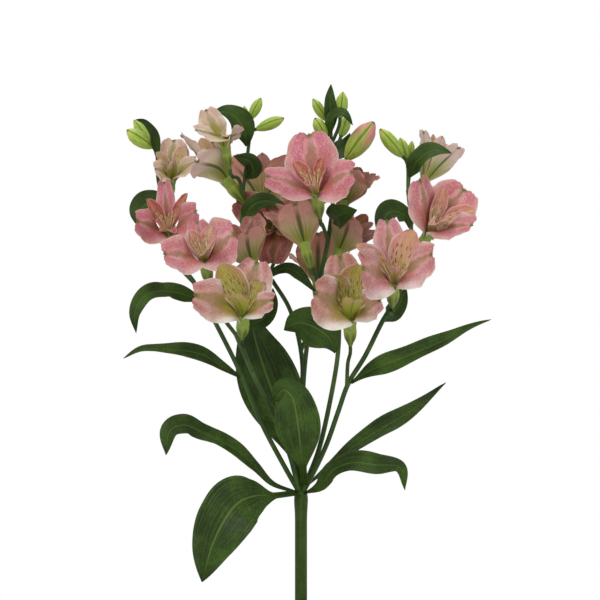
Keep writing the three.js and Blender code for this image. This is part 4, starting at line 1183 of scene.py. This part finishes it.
def make_pot(finish):
    """A pot turned about the upright axis, with drain holes through its floor."""
    shape = Shape("pot_fine", [finish])
    height, shoulder = POT["height"], POT["height"] - POT["collar"]
    outline = [
        (0, 0), (POT["base"], 0), (POT["shoulder"], shoulder), (POT["rim"], shoulder), (POT["rim"], height),
        (pot_inside(height), height), (pot_inside(POT["floor"]), POT["floor"]), (0, POT["floor"]),
    ]
    profile = np.concatenate([
        corner(*corners, POT["edge"]) for corners in zip(outline, outline[1:], outline[2:])])
    angles = circle(POT_SIDES)
    radii, heights = profile[:, :1], profile[:, 1:]
    points = np.broadcast_arrays(radii * np.cos(angles), radii * np.sin(angles), heights)
    shape.barrel(np.stack(points, axis=-1), np.linspace(0, 1, len(profile)), 0)
    drill_holes(shape.made("clay", "pot", sharp=40))


def drill_holes(pot):
    """Cuts round drain holes through the pot's floor."""
    drill = Shape("drill")
    for angle in circle(POT["drains"]) + math.pi / POT["drains"]:
        middle = POT["drain_circle"] * np.array((math.cos(angle), math.sin(angle), 0))
        rise = np.array((0, 0, POT["floor"] * 1.5))
        straight(drill, np.array([middle - rise, middle + rise]), (1.0, 0, 0), (0, 1.0, 0),
                 [POT["drain"]] * 2, 0, sides=28)
    cutter = placed("drill", drill.mesh())
    cut = pot.modifiers.new("drains", "BOOLEAN")
    cut.operation = "DIFFERENCE"
    cut.object = cutter
    bpy.context.view_layer.update()
    made = bpy.data.meshes.new_from_object(pot.evaluated_get(bpy.context.evaluated_depsgraph_get()))
    pot.modifiers.clear()
    pot.data = made
    bpy.data.objects.remove(cutter)


def soil_height(x, y):
    """Height of the crumbly top of the soil, which is smoother at the pot's wall."""
    share = min(1.0, math.hypot(x, y) / pot_inside(SOIL["top"]))
    crown = SOIL["crown"] * (1 - share ** 1.6)
    place = Vector((x, y, 0))
    rough = sum(lump * noise.noise(place * fineness) for lump, fineness in SOIL_LUMPS)
    return SOIL["top"] + crown + rough * (1 - 0.6 * share ** 4) - SOIL["sink"]


def make_soil(finishes):
    """Soil that fills the pot, with a hole in its crumbly top for the stem."""
    shape = Shape("soil_fine", finishes)
    low = POT["floor"] + SOIL["gap"]
    wide, narrow = pot_inside(SOIL["top"]) - SOIL["gap"], STEM["radius"] + SOIL["hole_gap"]
    radii = np.concatenate([[pot_inside(low) - SOIL["gap"]], np.linspace(wide, narrow, SOIL_RINGS)])
    points = np.zeros((len(radii) + 1, SOIL_SIDES, 3))
    for j, radius in enumerate(radii):
        for i, angle in enumerate(circle(SOIL_SIDES)):
            x, y = radius * math.cos(angle), radius * math.sin(angle)
            points[j, i] = x, y, low if j == 0 else soil_height(x, y)
    points[-1] = points[-2] - (0, 0, SOIL["hole"])
    shape.barrel(points, np.linspace(0, 1, len(points)), SOIL_SKIN)
    add_crumbs(shape, wide)
    shape.made("soil", "soil", sharp=60)


def add_crumbs(shape, wide):
    """Loose crumbs on the soil, half sunk in it, some of them grit."""
    draw = random.Random(7)
    near = STEM["radius"] + CRUMBS["clear"]
    for _ in range(CRUMBS["count"]):
        size = draw.uniform(0.5, 1.0) ** 2 * CRUMBS["size"]
        reach = near + (wide - near - CRUMBS["clear"]) * math.sqrt(draw.random())
        angle = draw.uniform(0, 2 * math.pi)
        x, y = reach * math.cos(angle), reach * math.sin(angle)
        centre = np.array((x, y, soil_height(x, y) + size * draw.uniform(-0.1, 0.35)))
        lean = unit(np.array((draw.uniform(-1, 1), draw.uniform(-1, 1), 0.6))) * size
        girths = (0.3, draw.uniform(0.7, 1), draw.uniform(0.6, 0.9), 0.2)
        body = [(share, size * girth) for share, girth in zip((0, 0.3, 0.7, 1), girths)]
        finish = GRIT_SKIN if draw.random() < CRUMBS["grit"] else SOIL_SKIN
        form = {"steps": 5, "sides": 7, "ribs": 3, "depth": draw.uniform(0, 0.25)}
        swelling(shape, centre - lean, centre + lean, body, finish, **form)


# Stage, light and camera


def make_stage(reach=0.85, sides=128):
    """A pale round floor under the pot."""
    mesh = bpy.data.meshes.new("floor")
    rim = [(reach * math.cos(angle), reach * math.sin(angle), 0) for angle in circle(sides)]
    mesh.from_pydata(rim, [], [tuple(range(sides))])
    paint = Paint("floor", "f1f0ee", roughness=0.7)
    paint.coat("f5f5f3", paint.cloud(3))
    mesh.materials.append(paint.finish())
    placed("floor", mesh)


def make_world():
    """White behind the plant, and an even light from all round it."""
    world = bpy.data.worlds.new("studio")
    world.use_nodes = True
    tree = world.node_tree
    tree.nodes.clear()
    output, mix, ray, light, seen = (
        tree.nodes.new(f"ShaderNode{kind}")
        for kind in ("OutputWorld", "MixShader", "LightPath", "Background", "Background"))
    light.inputs["Color"].default_value = (0.98, 0.99, 1, 1)
    light.inputs["Strength"].default_value = 0.58
    seen.inputs["Color"].default_value = (1, 1, 1, 1)
    tree.links.new(ray.outputs["Is Camera Ray"], mix.inputs[0])
    tree.links.new(light.outputs[0], mix.inputs[1])
    tree.links.new(seen.outputs[0], mix.inputs[2])
    tree.links.new(mix.outputs[0], output.inputs[0])
    bpy.context.scene.world = world


def make_light(name, place, size, power):
    """A soft square lamp that faces the head of the plant."""
    lamp = bpy.data.lights.new(name, "AREA")
    lamp.shape = "SQUARE"
    lamp.size = size
    lamp.energy = power
    holder = placed(name, lamp)
    holder.location = place
    aim = Vector((0, 0, PHOTO["height"] * METRE)) - Vector(place)
    holder.rotation_euler = aim.to_track_quat("-Z", "Y").to_euler()


def make_camera(sensor=36):
    """A long level lens, with the photograph's frame at the stem."""
    data = bpy.data.cameras.new("camera")
    data.sensor_width = sensor
    data.lens = sensor * PHOTO["distance"] / (PHOTO["size"] * PHOTO["scale"])
    data.clip_end = 20
    camera = placed("camera", data)
    camera.location = Vector((SHIFT, -PHOTO["distance"], PHOTO["height"])) * METRE
    camera.rotation_euler = (math.radians(90), 0, 0)
    bpy.context.scene.camera = camera


# Making

make_camera()
make_stage()
make_world()
make_light("key", (-0.7, -1.5, 1.5), 0.9, 17)
make_light("fill", (1.3, -1.2, 0.7), 1.2, 4)
make_light("top", (0.2, 0.5, 1.7), 1.0, 5)

LEAF_SKINS = [
    green("leaf_upper", "3e591b", "21340f", 34, rib="5b7632", pale="587328"),
    green("leaf_under", "5f7440", "465c2c", 34, roughness=0.6, rib="7f9160", pale="6f8450"),
]
TEPAL_SKINS = {
    tone: [
        tepal_outside(tone, "outer"), outer_inside(tone), tepal_outside(tone, "inner"), inner_inside(tone),
    ]
    for tone in TONES
}
THROAT_SKINS = [
    throat_skin(),
    plain_skin("filament", "efdfb4", "d8c48c", 300, 0.5, 0.00005),
    plain_skin("anther", "c9b684", "a8905e", 700, 0.8, 0.0002),
    plain_skin("tepal_point", "6f7434", "5c5a2c", 900, 0.5, 0.0001),
]
GREEN_BUD = bud_skin("bud_skin", "b9cc58", "8aa83a", "c9cf62", (0.7, 0.95))
PINK_BUD = bud_skin("bud_skin_blush", "b7c356", "8f9f3c", "dc8f88", (0.3, 0.85))

make_stem([
    green("stem_skin", "435c1e", "2e4414", 14, roughness=0.5),
    green("ray_skin", "4b6530", "334a20", 12, roughness=0.5),
    ovary_skin(),
])
for name, bloom in BLOOMS.items():
    make_bloom(f"bloom_{name}", bloom, TEPAL_SKINS[bloom["tone"]] + THROAT_SKINS)
for name, bud in BUDS.items():
    make_bud(f"bud_{name}", bud, PINK_BUD if name == "pink_tipped" else GREEN_BUD)
for kind, leaves in (("bract", BRACTS), ("leaf", LEAVES)):
    for name, leaf in leaves.items():
        make_leaf(f"{kind}_{name}", leaf, LEAF_SKINS)
make_pot(clay_skin())
make_soil([soil_skin(), plain_skin("grit", "d9d2c4", "a89f90", 600, 0.9, 0.0002)])

bpy.context.scene.view_settings.view_transform = "Standard"

bpy.context.view_layer.update()
